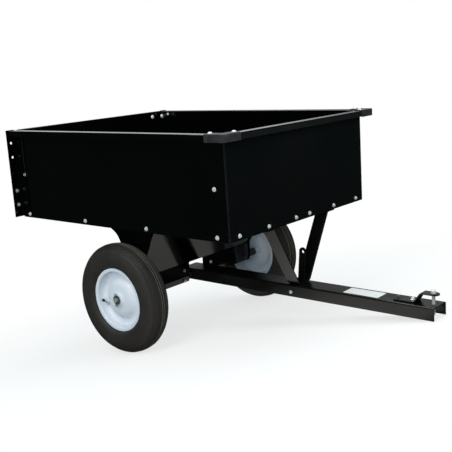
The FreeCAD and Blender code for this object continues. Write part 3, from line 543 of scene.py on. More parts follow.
def refined(node, material, body, bevel=0.6, angle=32.0, name=None):
    """The CAD node's own shape with welded, slightly rounded edges."""
    src = frame["nodes"][node]
    bm = bmesh.new()
    bm.from_mesh(src.data)
    bmesh.ops.remove_doubles(bm, verts=bm.verts, dist=2e-6)
    bmesh.ops.dissolve_limit(bm, angle_limit=math.radians(0.6), verts=bm.verts, edges=bm.edges)
    return finish_piece(name or node + "_finished", bm, material, body, replaces=(node,), bevel=bevel,
                        angle=angle, placed=True)


# ---------------------------------------------------------------------------
# Fasteners, collected per body and material
# ---------------------------------------------------------------------------
HARDWARE = {}


def hardware(key):
    if key not in HARDWARE:
        HARDWARE[key] = bmesh.new()
    return HARDWARE[key]


def hexagon(bm, m, across, h0, h1, chamfer=0.6):
    """A hexagonal prism with its top corners chamfered round."""
    r = across / 2 / math.cos(math.pi / 6)
    levels = [(1.0, h0), (1.0, h1 - chamfer), (0.90, h1), (0.55, h1 + 0.05)]
    rings = []
    for scale, h in levels:
        ring_v = []
        for k in range(24):
            a = 2 * math.pi * k / 24
            sector = (a + math.pi / 6) % (math.pi / 3) - math.pi / 6
            hexr = across / 2 / math.cos(sector)
            rad = hexr if scale == 1.0 else min(hexr, across / 2 * (1.06 if scale == 0.90 else 0.6))
            if scale == 1.0 and h > h0 + 1e-6:
                rad = hexr
            ring_v.append(bm.verts.new(m @ Vector((rad * math.cos(a), rad * math.sin(a), h))))
        rings.append(ring_v)
    for a, b in zip(rings, rings[1:]):
        for k in range(24):
            j = (k + 1) % 24
            bm.faces.new((a[k], a[j], b[j], b[k]))
    bm.faces.new(rings[0][::-1])
    bm.faces.new(rings[-1])


def bolt_head(key, point, direction, across=9.0, height=3.2, washer=7.4, washer_t=1.2):
    """Flanged hexagon head seated on a surface point."""
    bm = hardware(key)
    m = along(point, direction, random.uniform(0, math.pi))
    turned(bm, [(0, -0.3), (washer - 0.2, -0.3), (washer, 0.1), (washer, washer_t * 0.55), (washer - 0.9, washer_t * 0.9),
                (across * 0.60, washer_t + 0.5), (0, washer_t + 0.5)], m, 28, closed=False)
    hexagon(bm, m, across, washer_t, washer_t + height)
    # shallow dish and raised rim on the head
    turned(bm, [(across * 0.27, washer_t + height + 0.02), (across * 0.31, washer_t + height + 0.55),
                (across * 0.38, washer_t + height + 0.50), (across * 0.43, washer_t + height + 0.02)], m, 24, closed=True)
    # cross slot across the top, as two short raised lands
    for turn in (0.0, math.pi):
        mm = m @ Matrix.Rotation(turn, 4, "Z")
        prism(bm, [(across * 0.06, -across * 0.22), (across * 0.22, -across * 0.16), (across * 0.22, across * 0.16),
                   (across * 0.06, across * 0.22)], washer_t + height - 0.1, washer_t + height + 0.5,
              lambda u, v, q, mm=mm: mm @ Vector((u, v, q)))


def dome_head(key, point, direction, radius=8.0, height=4.2):
    """Round (carriage or pan) head with a small drive recess."""
    bm = hardware(key)
    m = along(point, direction, random.uniform(0, math.pi))
    prof = [(0, -0.3), (radius, -0.3), (radius, 0.5)]
    for i in range(1, 7):
        t = i / 7 * math.pi / 2
        prof.append((radius * math.cos(t) ** 0.85, 0.5 + height * math.sin(t)))
    prof += [(2.2, height + 0.46), (1.7, height - 0.9), (0, height - 1.1)]
    turned(bm, prof, m, 28, closed=False)


def nut(key, point, direction, across=10.0, height=5.0, stud=3.0, stud_out=5.0, washer=7.5):
    """Nut on a washer, with the bolt's threaded end showing."""
    bm = hardware(key)
    m = along(point, direction, random.uniform(0, math.pi))
    turned(bm, [(0, -0.3), (washer, -0.3), (washer, 1.0), (washer - 0.5, 1.4), (0, 1.4)], m, 24, closed=False)
    hexagon(bm, m, across, 1.2, 1.2 + height)
    prof = [(0, height)]
    top = 1.2 + height
    prof.append((stud, top - 0.5))
    n = max(3, int(stud_out / 1.25))
    for i in range(n):
        h = top + 0.2 + i * stud_out / n
        prof += [(stud, h), (stud - 0.45, h + stud_out / n * 0.5)]
    prof += [(stud - 0.7, top + stud_out + 0.4), (0, top + stud_out + 0.4)]
    turned(bm, prof, m, 18, closed=False)


# ---------------------------------------------------------------------------
# Bed
# ---------------------------------------------------------------------------
W, L, H = 392.5, 1047.0, 336.5


def ripple(x, y, z, amount=0.35, scale=0.0028):
    """Slow unevenness of thin sheet metal."""
    return amount * mnoise.noise(Vector((x * scale, y * scale + 3.1, z * scale * 1.3)))


def edge_fade(value, lo, hi, width):
    return max(0.0, min(1.0, (value - lo) / width, (hi - value) / width))


# Floor tray
def floor_tray():
    bm = bmesh.new()
    path = densify(fillet([(-389.0, 28.0), (-389.0, 1.0), (389.0, 1.0), (389.0, 28.0)], 3.2), 95.0)

    def place(u, v, s):
        fade = edge_fade(s, -1045.0, -2.0, 120.0) * edge_fade(u, -380.0, 380.0, 120.0)
        return Vector((s, u, v + ripple(s, u, 0, 0.7) * fade))
    sheet_strip(bm, path, 2.0, linspan(-1045.0, -4.2, 70.0), place)
    # front flange, folded up inside the front panel
    path = fillet([(-18.0, 1.0), (-3.0, 1.0), (-3.0, 28.0)], 3.0)
    sheet_strip(bm, path, 1.98, linspan(-386.0, 386.0, 130.0), lambda u, v, s: Vector((u, s, v)))
    return finish_piece("bed_floor_sheet", bm, BLACK, "bed", ("bed_floor",), bevel=0.5)


floor_tray()


def side_panel(side, sign):
    bm = bmesh.new()
    path = fillet([(sign * (W - 1), 0.0), (sign * (W - 1), H - 1), (sign * (W + 31), H - 1), (sign * (W + 31), H - 21)],
                  [0, 3.4, 3.4, 0], steps=7)
    path = densify(path, 48.0)

    def place(u, v, s):
        fade = edge_fade(s, -1047.0, -4.0, 150.0) * edge_fade(v, 0.0, H - 12, 60.0)
        return Vector((s, u + ripple(s, sign * 50, v, 0.9) * fade, v))
    sheet_strip(bm, path, 2.0, linspan(-1046.0 + 4.0, -4.0, 45.0), place)
    # rear edge folded inward
    fold = fillet([(-1038.0, sign * (W - 1)), (-1046.0, sign * (W - 1)), (-1046.0, sign * (W - 20))], 3.6, steps=7)
    sheet_strip(bm, fold, 2.0, linspan(0.0, H - 0.1, 48.0), lambda u, v, s: Vector((u, v, s)))
    obj = finish_piece("side_panel_%s_sheet" % side, bm, BLACK, "bed", ("side_panel_" + side,),
                       bevel=0.55)
    return obj


for SIDE, SIGN in (("right", -1), ("left", 1)):
    side_panel(SIDE, SIGN)


def front_panel():
    bm = bmesh.new()
    path = fillet([(-1.0, 0.0), (-1.0, H - 1), (31.0, H - 1), (31.0, H - 21)], [0, 3.4, 3.4, 0], steps=7)
    path = densify(path, 48.0)

    def place(u, v, s):
        fade = edge_fade(s, -384.0, 384.0, 110.0) * edge_fade(v, 0.0, H - 12, 60.0)
        return Vector((u + ripple(s, v, 9.0, 0.8) * fade, s, v))
    sheet_strip(bm, path, 2.0, linspan(-384.2, 384.2, 42.0), place)
    for sign in (-1, 1):
        # rounded corner and the flange inside the side panel
        def corner(u, v, s):
            reach = -61.0 if s > 33.5 else -9.0
            return Vector((max(u, reach), v, s))
        path = fillet([(-62.0, sign * 389.2), (-1.0, sign * 389.2), (-1.0, sign * 383.8)], [0, 4.6, 0], steps=8)
        path = densify(path, 12.0)
        sheet_strip(bm, path, 2.0, [0.0, 12.0, 24.0, 33.4, 33.6] + linspan(60.0, H - 2.4, 46.0), corner)
    bmesh.ops.dissolve_degenerate(bm, dist=0.001, edges=bm.edges)
    obj = finish_piece("front_panel_sheet", bm, BLACK_FRONT_LIT, "bed", ("front_panel",), bevel=0.55)
    # The outer face keeps the lighter copy, painted light; the inner faces get the plain black.
    paint(obj, BLACK, lambda c, n: c.x < -1.2 and abs(c.y) < 384.0)
    # painted highlight on the rounded vertical corners
    paint(obj, BLACK_CORNER_HIGHLIGHT, lambda c, n: abs(c.y) > 383.9 and c.x > -7.0 and c.z < H - 24.0)
    # painted light on the front rim's lip
    return paint(obj, BLACK_LIP_LIT, lambda c, n: c.x > 29.0 and c.z < H - 4.0)


front_panel()


def corner_cap(side, sign):
    """Pressed cover: a flat top, a rolled edge and a skirt."""
    ox, oy = 34.5, W + 34.5
    leg = 80.0
    rnd = 12.0
    boundary, inner = [], []
    for t in linspan(0.0, leg - rnd, 14.0):
        boundary.append(((ox, oy - leg + t), (1, 0)))
        inner.append((1.0, min(oy - leg + t, W - 1)))
    for i in range(1, 9):
        a = math.pi / 2 * i / 9
        boundary.append(((ox - rnd + rnd * math.cos(a), oy - rnd + rnd * math.sin(a)), (math.cos(a), math.sin(a))))
        inner.append((0.4, W - 0.4))
    for t in linspan(0.0, leg - rnd, 14.0):
        boundary.append(((ox - rnd - t, oy), (0, 1)))
        inner.append((min(ox - rnd - t, 1.0), W + 1.0))
    bm = bmesh.new()
    roll, top, drop = 3.6, H + 2.7, 23.0
    rows = []
    for (bp, nrm), ip in zip(boundary, inner):
        edge = Vector((bp[0], bp[1]))
        n2 = Vector(nrm)
        start = edge - n2 * roll
        ring_pts = [Vector((ip[0], ip[1], top))]
        mid = Vector((ip[0], ip[1])).lerp(start, 0.5)
        ring_pts.append(Vector((mid.x, mid.y, top)))
        ring_pts.append(Vector((start.x, start.y, top)))
        for i in range(1, 6):
            a = math.pi / 2 * i / 5
            q = start + n2 * (roll * math.sin(a))
            ring_pts.append(Vector((q.x, q.y, top - roll + roll * math.cos(a))))
        ring_pts.append(Vector((edge.x, edge.y, top - drop * 0.55)))
        ring_pts.append(Vector((edge.x, edge.y, top - drop - 2.5)))
        rows.append([bm.verts.new((p.x, p.y * sign, p.z)) for p in ring_pts])
    for a, b in zip(rows[:-1], rows[1:]):
        for i in range(len(a) - 1):
            try:
                bm.faces.new((a[i], a[i + 1], b[i + 1], b[i]))
            except ValueError:
                pass
    bmesh.ops.remove_doubles(bm, verts=bm.verts, dist=0.05)
    bmesh.ops.recalc_face_normals(bm, faces=bm.faces)
    up = sum((f.normal.z for f in bm.faces))
    if up < 0:
        bmesh.ops.reverse_faces(bm, faces=bm.faces)
    mesh = bpy.data.meshes.new("cap_tmp")
    bm.to_mesh(mesh)
    bm.free()
    obj = bpy.data.objects.new("cap_tmp", mesh)
    scene.collection.objects.link(obj)
    mod = obj.modifiers.new("solid", "SOLIDIFY")
    mod.thickness = 2.2
    mod.offset = -1.0
    bake(obj)
    bm = bmesh.new()
    bm.from_mesh(obj.data)
    bpy.data.objects.remove(obj)
    obj = finish_piece("corner_cap_%s_pressing" % side, bm, BLACK_CAP, "bed", ("corner_cap_" + side,),
                       bevel=0.4, angle=40.0)
    # painted highlight on the rounded corner of the cap's skirt
    return paint(obj, BLACK_EDGE_HIGHLIGHT, lambda c, n: abs(n.z) < 0.5 and 0.38 < abs(n.x) < 0.88)


for SIDE, SIGN in (("right", -1), ("left", 1)):
    corner_cap(SIDE, SIGN)


def rear_post(side, sign):
    bm = bmesh.new()
    path = fillet([(-1007.0, sign * (W + 1.3)), (-1048.2, sign * (W + 1.3)), (-1048.2, sign * (W + 38))], 4.2, steps=7)
    sheet_strip(bm, path, 2.4, linspan(4.2, 338.4, 84.0), lambda u, v, s: Vector((u, v, s)))
    cuts = [rod((-1048.2, sign * (W + 20.5), z), (1, 0, 0), 5.0, 14.0) for z in (51.0, 105.0, 235.0, 289.0)]
    cuts.append(brick((-1046.9, min(sign * (W - 3), sign * (W + 45)), 314.4),
                      (-1000.0, max(sign * (W - 3), sign * (W + 45)), 350.0)))
    bm = carve(bm, cuts)
    obj = finish_piece("rear_post_%s_angle" % side, bm, BLACK, "bed", ("rear_post_" + side,), bevel=0.7)
    # painted highlight along the front edge of the side leg, from 150 mm up
    return paint(obj, BLACK_EDGE_HIGHLIGHT, lambda c, n: c.x > -1008.3 and c.z > 150.0)


def tailgate_guide(side, sign):
    bm = bmesh.new()
    path = fillet([(-985.0, sign * 386.9), (-1021.5, sign * 386.9), (-1021.5, sign * 367.0)], 3.2, steps=6)
    sheet_strip(bm, path, 1.9, linspan(3.2, 329.0, 82.0), lambda u, v, s: Vector((u, v, s)))
    return finish_piece("tailgate_guide_%s_angle" % side, bm, BLACK, "bed", ("tailgate_guide_" + side,),
                        bevel=0.4)


for SIDE, SIGN in (("right", -1), ("left", 1)):
    rear_post(SIDE, SIGN)
    tailgate_guide(SIDE, SIGN)


def tailgate():
    """A pan: face sheet with four flanges turned rearward."""
    bm = bmesh.new()
    prism(bm, [(-384.0, 2.5), (384.0, 2.5), (384.0, 338.4), (-384.0, 338.4)], -1039.4, -1028.6,
          lambda u, v, s: Vector((s, u, v)))
    back = [f for f in bm.faces if all(abs(v.co.x + 1039.4) < 0.01 for v in f.verts)]
    bmesh.ops.delete(bm, geom=back, context="FACES_ONLY")
    edges = [e for e in bm.edges if len(e.link_faces) == 2]
    bmesh.ops.bevel(bm, geom=edges, offset=3.6, segments=5, affect="EDGES", profile=0.5)
    bmesh.ops.recalc_face_normals(bm, faces=bm.faces)
    if max(bm.faces, key=lambda f: f.calc_area()).normal.x < 0:
        bmesh.ops.reverse_faces(bm, faces=bm.faces)
    mesh = bpy.data.meshes.new("gate_tmp")
    bm.to_mesh(mesh)
    bm.free()
    obj = bpy.data.objects.new("gate_tmp", mesh)
    scene.collection.objects.link(obj)
    mod = obj.modifiers.new("solid", "SOLIDIFY")
    mod.thickness = 1.8
    mod.offset = -1.0
    bake(obj)
    bm = bmesh.new()
    bm.from_mesh(obj.data)
    bpy.data.objects.remove(obj)
    return finish_piece("tailgate_pan", bm, BLACK, "tailgate", ("tailgate",), bevel=0.4, angle=40.0)


tailgate()

# ---------------------------------------------------------------------------
# Axle support
# ---------------------------------------------------------------------------
AX, AZ = AXLE.x, AXLE.z


def support_wall(label, sgn, half, gap):
    bm = bmesh.new()
    top = 8.5 + 2.5 + (202.0 - 2.5) * 0.577
    path = fillet([(AX + sgn * 9.75, -256.0), (AX + sgn * 9.75, -202.6), (AX + sgn * (top - 0.9), -1.4),
                   (AX + sgn * (top + 30.0), -1.4)], [0, 5.0, 4.5, 0], steps=7)
    path = densify(path, 42.0)

    def place(u, v, s):
        fade = edge_fade(s, -half, half, 70.0) * edge_fade(v, -200.0, -8.0, 40.0)
        return Vector((u + sgn * ripple(s, v, 4.0, 0.55) * fade, s, v))
    sheet_strip(bm, path, 2.4, linspan(-half, half, 52.0), place)
    notch = bmesh.new()
    out = fillet([(-gap, -262.0), (gap, -262.0), (gap, -202.0), (-gap, -202.0)], [0, 0, 8.0, 8.0], steps=6, closed=True)
    prism(notch, [(p.x, p.y) for p in out], AX + sgn * 4.0, AX + sgn * 60.0, lambda u, v, s: Vector((s, u, v)))
    bm = carve(bm, [notch])
    return finish_piece("axle_support_%s_wall" % label, bm, BLACK, "bed", ("axle_support_" + label,),
                        bevel=0.5)


support_wall("front", 1, 316.0, 46.8)
support_wall("rear", -1, 250.0, 58.0)


def trough(side, sign):
    bm = bmesh.new()
    path = fillet([(AX + 12.3, -206.0), (AX + 12.3, -256.0), (AX + 5.2, -277.8), (AX - 5.2, -277.8),
                   (AX - 12.3, -256.0), (AX - 12.3, -206.0)], [0, 2.6, 2.6, 2.6, 2.6, 0], steps=5)
    sheet_strip(bm, path, 2.3, [sign * y for y in linspan(46.8, 315.6, 60.0)], lambda u, v, s: Vector((u, s, v)))
    cuts = [rod((AX + 9.6, sign * 84.6, -263.4), (0.94, 0, -0.33), 4.9, 9.0)]
    cuts.append(brick((AX - 21.0, min(sign * 40.0, sign * 58.0), -256.0),
                      (AX - 10.0, max(sign * 40.0, sign * 58.0), -201.0)))
    if sign > 0:
        cuts.append(rod((AX + 12.3, 55.0, -221.3), (1, 0, 0), 4.2, 9.0))
    bm = carve(bm, cuts)
    return finish_piece("axle_trough_%s_fold" % side, bm, BLACK, "bed", ("axle_trough_" + side,),
                        bevel=0.45)


for SIDE, SIGN in (("right", -1), ("left", 1)):
    trough(SIDE, SIGN)
    refined("axle_end_plate_" + SIDE, BLACK_DULL, "bed", bevel=0.6)

# ---------------------------------------------------------------------------
# Latch stand, drawbar, lever, hitch
# ---------------------------------------------------------------------------


def latch_stand():
    bm = bmesh.new()
    path = fillet([(-200.0, -2.6), (-159.5, -2.6), (-29.4, -224.7), (29.4, -224.7), (159.5, -2.6), (200.0, -2.6)],
                  [0, 8.0, 19.0, 19.0, 8.0, 0], steps=12)
    path = densify(path, 55.0)
    sheet_strip(bm, path, 4.9, [-54.0, -44.0, -31.0, -17.5, -4.0], lambda u, v, s: Vector((s, u, v)))
    bm = carve(bm, [brick((-39.0, -9.0, -240.0), (8.0, 9.0, -212.0))])
    return finish_piece("latch_stand_bar", bm, BLACK_BAR, "bed", ("latch_stand",), bevel=0.8,
                        segments=3)


latch_stand()
refined("drawbar", BLACK_BAR, "drawbar", bevel=0.5, name="drawbar_channel", angle=36.0)
refined("latch_lever", BLACK_BAR, "drawbar", bevel=0.8, name="latch_lever_bar")


def hitch_strap():
    """Cranked flat bar: full width on the web, tapering up to a round nose."""
    bm = bmesh.new()
    nose, wide, slim = 481.0, 25.0, 16.5
    path = fillet([(350.0, -225.2), (421.5, -225.2), (441.5, -195.25), (503.0, -195.25)], [0, 9.0, 9.0, 0], steps=8)
    path = densify(path, 4.5)
    tail = [Vector((nose + slim * math.sin(math.pi / 2 * i / 18), -195.25)) for i in range(19)]
    path = [p for p in path if p.x < nose - 1.0] + tail

    def place(u, v, s):
        half = wide + (slim - wide) * min(1.0, max(0.0, (u - 414.5) / 24.1))
        if u > nose:
            half = math.sqrt(max(slim ** 2 - (u - nose) ** 2, 0.6))
        elif u < 354.0:
            back = min(1.0, max(0.0, (354.0 - u) / 4.0))
            half -= 4.0 * (1 - math.sqrt(max(0.0, 1 - back * back)))
        return Vector((u, half * s, v))
    sheet_strip(bm, path, 4.4, [-1.0, -0.8, -0.5, -0.2, 0.2, 0.5, 0.8, 1.0], place)
    bm = carve(bm, [rod((478.0, 0.0, -195.25), (0, 0, 1), 6.1, 20.0, 40)])
    return finish_piece("hitch_strap_bar", bm, BLACK_BAR, "drawbar", ("hitch_strap",), bevel=0.6)


hitch_strap()


def hitch_pin():
    bm = bmesh.new()
    m = along((478.0, 0.0, -264.0), (0, 0, 1))
    prof = [(0, 0), (2.4, 0.0), (4.6, 3.4), (5.4, 6.6), (5.4, 70.4), (5.8, 71.0), (7.4, 71.1), (8.0, 71.7), (8.0, 73.4),
            (7.4, 74.0), (5.9, 74.2), (5.4, 74.6), (5.4, 77.6), (5.9, 78.0), (6.3, 78.1), (6.7, 78.6), (6.7, 80.0)]
    for i in range(1, 8):
        t = math.pi / 2 * i / 8
        prof.append((6.7 * math.cos(t), 80.0 + 2.4 * math.sin(t)))
    prof.append((0, 82.4))
    turned(bm, prof, m, 48, closed=False)
    return finish_piece("hitch_pin_turned", bm, ZINC, "drawbar", ("hitch_pin",), angle=34.0)


hitch_pin()


def wire_ring(bm, centre, axis, radius, wire, start=0.0, sweep=2 * math.pi, around=64, sides_n=14, lift=0.0):
    """Round wire along an arc or a full ring."""
    m = along(centre, axis)
    closed = abs(sweep - 2 * math.pi) < 1e-6
    n = around if closed else around + 1
    rings = []
    for i in range(n):
        t = start + sweep * i / around
        c = Vector((math.cos(t), math.sin(t), 0.0))
        mid = c * radius + Vector((0, 0, lift * (i / around - 0.5)))
        rings.append([bm.verts.new(m @ (mid + (c * math.cos(2 * math.pi * k / sides_n)
                                               + Vector((0, 0, 1)) * math.sin(2 * math.pi * k / sides_n)) * wire))
                      for k in range(sides_n)])
    pairs = list(zip(rings, rings[1:])) + ([(rings[-1], rings[0])] if closed else [])
    for a, b in pairs:
        for k in range(sides_n):
            j = (k + 1) % sides_n
            bm.faces.new((a[k], a[j], b[j], b[k]))
    if not closed:
        bm.faces.new(rings[0][::-1])
        bm.faces.new(rings[-1])


def wire_path(bm, points, wire, sides_n=10):
    """Round wire along a 3D polyline."""
    pts = [Vector(p) for p in points]
    ref = Vector((0.13, 0.31, 0.94)).normalized()
    rings = []
    for i, p in enumerate(pts):
        t = (pts[min(i + 1, len(pts) - 1)] - pts[max(i - 1, 0)]).normalized()
        u = (ref - t * ref.dot(t)).normalized()
        ref = u
        v = t.cross(u)
        rings.append([bm.verts.new(p + (u * math.cos(2 * math.pi * k / sides_n) + v * math.sin(2 * math.pi * k / sides_n)) * wire)
                      for k in range(sides_n)])
    for a, b in zip(rings, rings[1:]):
        for k in range(sides_n):
            j = (k + 1) % sides_n
            bm.faces.new((a[k], a[j], b[j], b[k]))
    bm.faces.new(rings[0][::-1])
    bm.faces.new(rings[-1])


def pin_ring():
    bm = bmesh.new()
    wire_ring(bm, (478.0, 0.0, -187.2), (0, 0, 1), 6.6, 1.2, around=60)
    return finish_piece("pin_ring_wire", bm, ZINC, "drawbar", ("pin_ring",), angle=60.0)


pin_ring()


def blank_label():
    """A plain film on the drawbar's top, with nothing printed on it."""
    bm = bmesh.new()
    out = fillet([(168.0, -29.0), (299.0, -29.0), (299.0, 29.0), (168.0, 29.0)], 3.0, steps=5, closed=True)
    prism(bm, [(p.x, p.y) for p in out], -227.55, -227.18, lambda u, v, s: Vector((u, v, s)))
    return finish_piece("blank_label", bm, LABEL, "drawbar", bevel=0.12)


blank_label()

# ---------------------------------------------------------------------------
# Wheels
# ---------------------------------------------------------------------------


def smooth_profile(points, step=1.2):
    """Catmull-Rom through the points, for rounded sections."""
    pts = [Vector(p) for p in points]
    out = []
    for i in range(len(pts) - 1):
        p0 = pts[max(i - 1, 0)]
        p1, p2 = pts[i], pts[i + 1]
        p3 = pts[min(i + 2, len(pts) - 1)]
        n = max(2, int((p2 - p1).length / step))
        for k in range(n):
            t = k / n
            out.append(0.5 * ((2 * p1) + (p2 - p0) * t + (2 * p0 - 5 * p1 + 4 * p2 - p3) * t * t
                              + (3 * p1 - p0 - 3 * p2 + p3) * t ** 3))
    out.append(pts[-1])
    return out


def tyre_section():
    """Half section from the bead to the middle of the tread, as (radius,
    distance from the wheel's centre plane)."""
    R = 199.0
    shell = smooth_profile([
        (104.2, 27.2), (106.4, 30.6), (112.4, 31.2), (115.6, 31.6), (117.6, 34.6), (121.5, 39.6), (127.0, 43.4), (135.0, 45.7),
        (149.0, 46.5), (163.0, 45.4), (175.0, 42.2), (183.5, 37.6), (189.0, 32.0), (193.2, 26.6), (196.2, 20.0),
        (198.3, 11.0), (199.0, 0.0)], 1.1)
    out = []
    for p in shell:
        r, y = p.x, p.y
        d = 0.0
        # bead guard and moulding lines on the sidewall
        d += 0.9 * math.exp(-((r - 123.0) / 1.1) ** 2)
        d += 0.6 * math.exp(-((r - 128.2) / 0.9) ** 2)
        d += 0.6 * math.exp(-((r - 152.0) / 0.9) ** 2)
        d += 0.6 * math.exp(-((r - 160.0) / 0.9) ** 2)
        d += 0.6 * math.exp(-((r - 167.5) / 0.9) ** 2)
        d += 0.6 * math.exp(-((r - 174.5) / 0.9) ** 2)
        out.append((r, y, d))
    return out


def tyre(side, sign):
    half = tyre_section()
    # ribs of the tread: (distance from the centre plane, half width, height)
    ribs = [(5.0, 0.9, 3.4), (10.8, 0.8, 2.6), (17.2, 0.9, 3.2), (22.6, 0.8, 2.6), (28.4, 0.9, 2.6), (33.4, 0.7, 1.6), (37.8, 0.8, 1.6),
            (41.0, 0.7, 1.2)]
    full = []
    n = len(half)
    # denser sampling across the tread so that the grooves are crisp
    outer = []
    for i in range(n - 1):
        r0, y0, d0 = half[i]
        r1, y1, d1 = half[i + 1]
        if r0 > 176.0:
            seg = math.hypot(r1 - r0, y1 - y0)
            k = max(1, int(math.ceil(seg / 0.45)))
        else:
            k = 1
        for j in range(k):
            t = j / k
            outer.append((r0 + (r1 - r0) * t, y0 + (y1 - y0) * t, d0 + (d1 - d0) * t))
    outer.append(half[-1])
    for idx, (r, y, d) in enumerate(outer):
        a = outer[max(idx - 1, 0)]
        b = outer[min(idx + 1, len(outer) - 1)]
        tx, ty = b[0] - a[0], b[1] - a[1]
        ln = math.hypot(tx, ty) or 1.0
        nx, ny = -ty / ln, tx / ln
        if nx * (r - 150.0) + ny * y < 0:
            nx, ny = -nx, -ny
        g = 0.0
        if r > 176.0:
            # the tread between the ribs lies lower, fading out at the shoulder
            low = 3.4 * min(1.0, max(0.0, (r - 178.0) / 12.0))
            g = low
            for ry, rw, tall in ribs:
                q = abs(y - ry) / rw
                if q < 1.5:
                    rise = 1.0 if q < 0.7 else max(0.0, (1.5 - q) / 0.8)
                    g = min(g, low - min(low, tall) * rise)
        full.append((r + nx * (d - g), y + ny * (d - g)))
    mirrored = [(r, -y) for r, y in reversed(full[:-1])]
    section = [(r, y) for r, y in full] + mirrored
    # inner side, closed on the rim's bead seats
    section += [(103.0, -26.0), (102.6, -18.0), (102.6, 18.0), (103.0, 26.0)]
    count = 180
    bm = bmesh.new()
    m = along((AX, sign * 378.0, AZ), (0, sign, 0))
    rings = []
    for r, y in section:
        rings.append([bm.verts.new(m @ Vector((r * math.cos(2 * math.pi * k / count), r * math.sin(2 * math.pi * k / count), y)))
                      for k in range(count)])
    for a, b in zip(rings, rings[1:] + rings[:1]):
        for k in range(count):
            j = (k + 1) % count
            bm.faces.new((a[k], a[j], b[j], b[k]))
    obj = finish_piece("tyre_%s_moulded" % side, bm, TYRE_MAT, "wheel_" + side, ("tyre_" + side,),
                       angle=34.0)

    # Rib tops at +5, -5 and -17.2 mm: wear plus painted highlight.
    def rib_wear_and_highlight(c, n):
        out = Vector((c.x - AX, 0.0, c.z - AZ))
        r, y = out.length, abs(c.y) - 378.0
        return r > 180.0 and any(abs(y - ry) < rw * 0.95 for ry, rw in ((5.0, 0.9), (-5.0, 0.9), (-17.2, 0.9)))
    return paint(obj, TYRE_RIB_WEAR_HIGHLIGHT, rib_wear_and_highlight)


def rim(side, sign):
    R = 114.7
    outer = [(R - 0.2, 31.0), (R, 32.4), (R - 0.5, 33.5), (R - 2.0, 33.9), (R - 8.0, 33.7), (R - 10.6, 33.2), (R - 12.4, 31.6),
             (R - 13.4, 28.6), (R - 13.9, 24.0), (R - 14.6, 18.6), (R - 16.6, 13.6), (R - 18.8, 8.8),
             (R - 23.2, 5.4), (R - 29.7, 4.2), (R - 36.5, 5.5), (R - 42.6, 10.0), (R - 48.8, 16.0), (R - 56.5, 20.6),
             (R - 67.0, 23.3), (R - 79.0, 24.6), (R - 84.0, 25.2), (R - 88.0, 27.0), (R - 94.0, 30.4), (R - 97.6, 31.7), (14.1, 32.0)]
    back = [(14.1, 22.8), (R - 94.0, 22.8), (R - 82.0, 22.3), (R - 67.4, 20.9), (R - 57.9, 18.4), (R - 50.5, 14.1), (R - 44.3, 8.2),
            (R - 37.5, 3.3), (R - 29.7, 1.8), (R - 22.6, 2.8), (R - 17.4, 1.8), (R - 16.9, -2.0), (R - 16.6, -13.6),
            (R - 14.6, -18.6), (R - 13.9, -24.0), (R - 13.4, -28.6), (R - 12.4, -31.6), (R - 10.6, -33.2), (R - 8.0, -33.7),
            (R - 2.0, -33.9), (R - 0.5, -33.5), (R, -32.4), (R - 0.2, -31.0)]
    seat = [(R - 1.4, -31.6), (R - 9.4, -31.4), (R - 11.0, -28.0), (R - 11.4, -21.0), (R - 14.0, -14.5), (R - 14.2, 0.0), (R - 14.0, 14.5),
            (R - 11.4, 21.0), (R - 11.0, 28.0), (R - 9.4, 31.4), (R - 1.4, 31.6)]
    prof = [(p.x, p.y) for p in smooth_profile(outer, 1.6)]
    prof += [(p.x, p.y) for p in smooth_profile(back, 2.2)]
    prof += seat
    bm = bmesh.new()
    turned(bm, prof, along((AX, sign * 378.0, AZ), (0, sign, 0)), 144, closed=True)
    return finish_piece("wheel_rim_%s_pressing" % side, bm, WHITE, "wheel_" + side, ("wheel_rim_" + side,),
                        angle=34.0)


def hub(side, sign):
    bm = bmesh.new()
    prof = [(8.4, -14.4), (8.9, -15.0), (13.2, -15.0), (14.0, -14.2), (14.0, 31.7), (13.2, 32.5), (9.2, 32.5), (8.4, 31.7)]
    m = along((AX, sign * 378.0, AZ), (0, sign, 0))
    turned(bm, prof, m, 56, closed=True)
    # weld bead where the hub meets the rim
    bead = []
    for k in range(96):
        a = 2 * math.pi * k / 96
        swell = 1.0 + 0.25 * math.sin(a * 24) + 0.25 * mnoise.noise(Vector((math.cos(a) * 3, math.sin(a) * 3, 2.0)))
        bead.append([(14.0 + swell * math.cos(t) * 0.9, 31.2 + swell * math.sin(t) * 0.5, a)
                     for t in (math.radians(q) for q in (-20, 20, 60, 100, 140))])
    rings = [[bm.verts.new(m @ Vector((r * math.cos(a), r * math.sin(a), h))) for r, h, a in row] for row in bead]
    for i in range(96):
        a, b = rings[i], rings[(i + 1) % 96]
        for k in range(4):
            bm.faces.new((a[k], b[k], b[k + 1], a[k + 1]))
        bm.faces.new((a[4], b[4], b[0], a[0]))
    return finish_piece("wheel_hub_%s_tube" % side, bm, WHITE, "wheel_" + side, ("wheel_hub_" + side,),
                        angle=40.0)


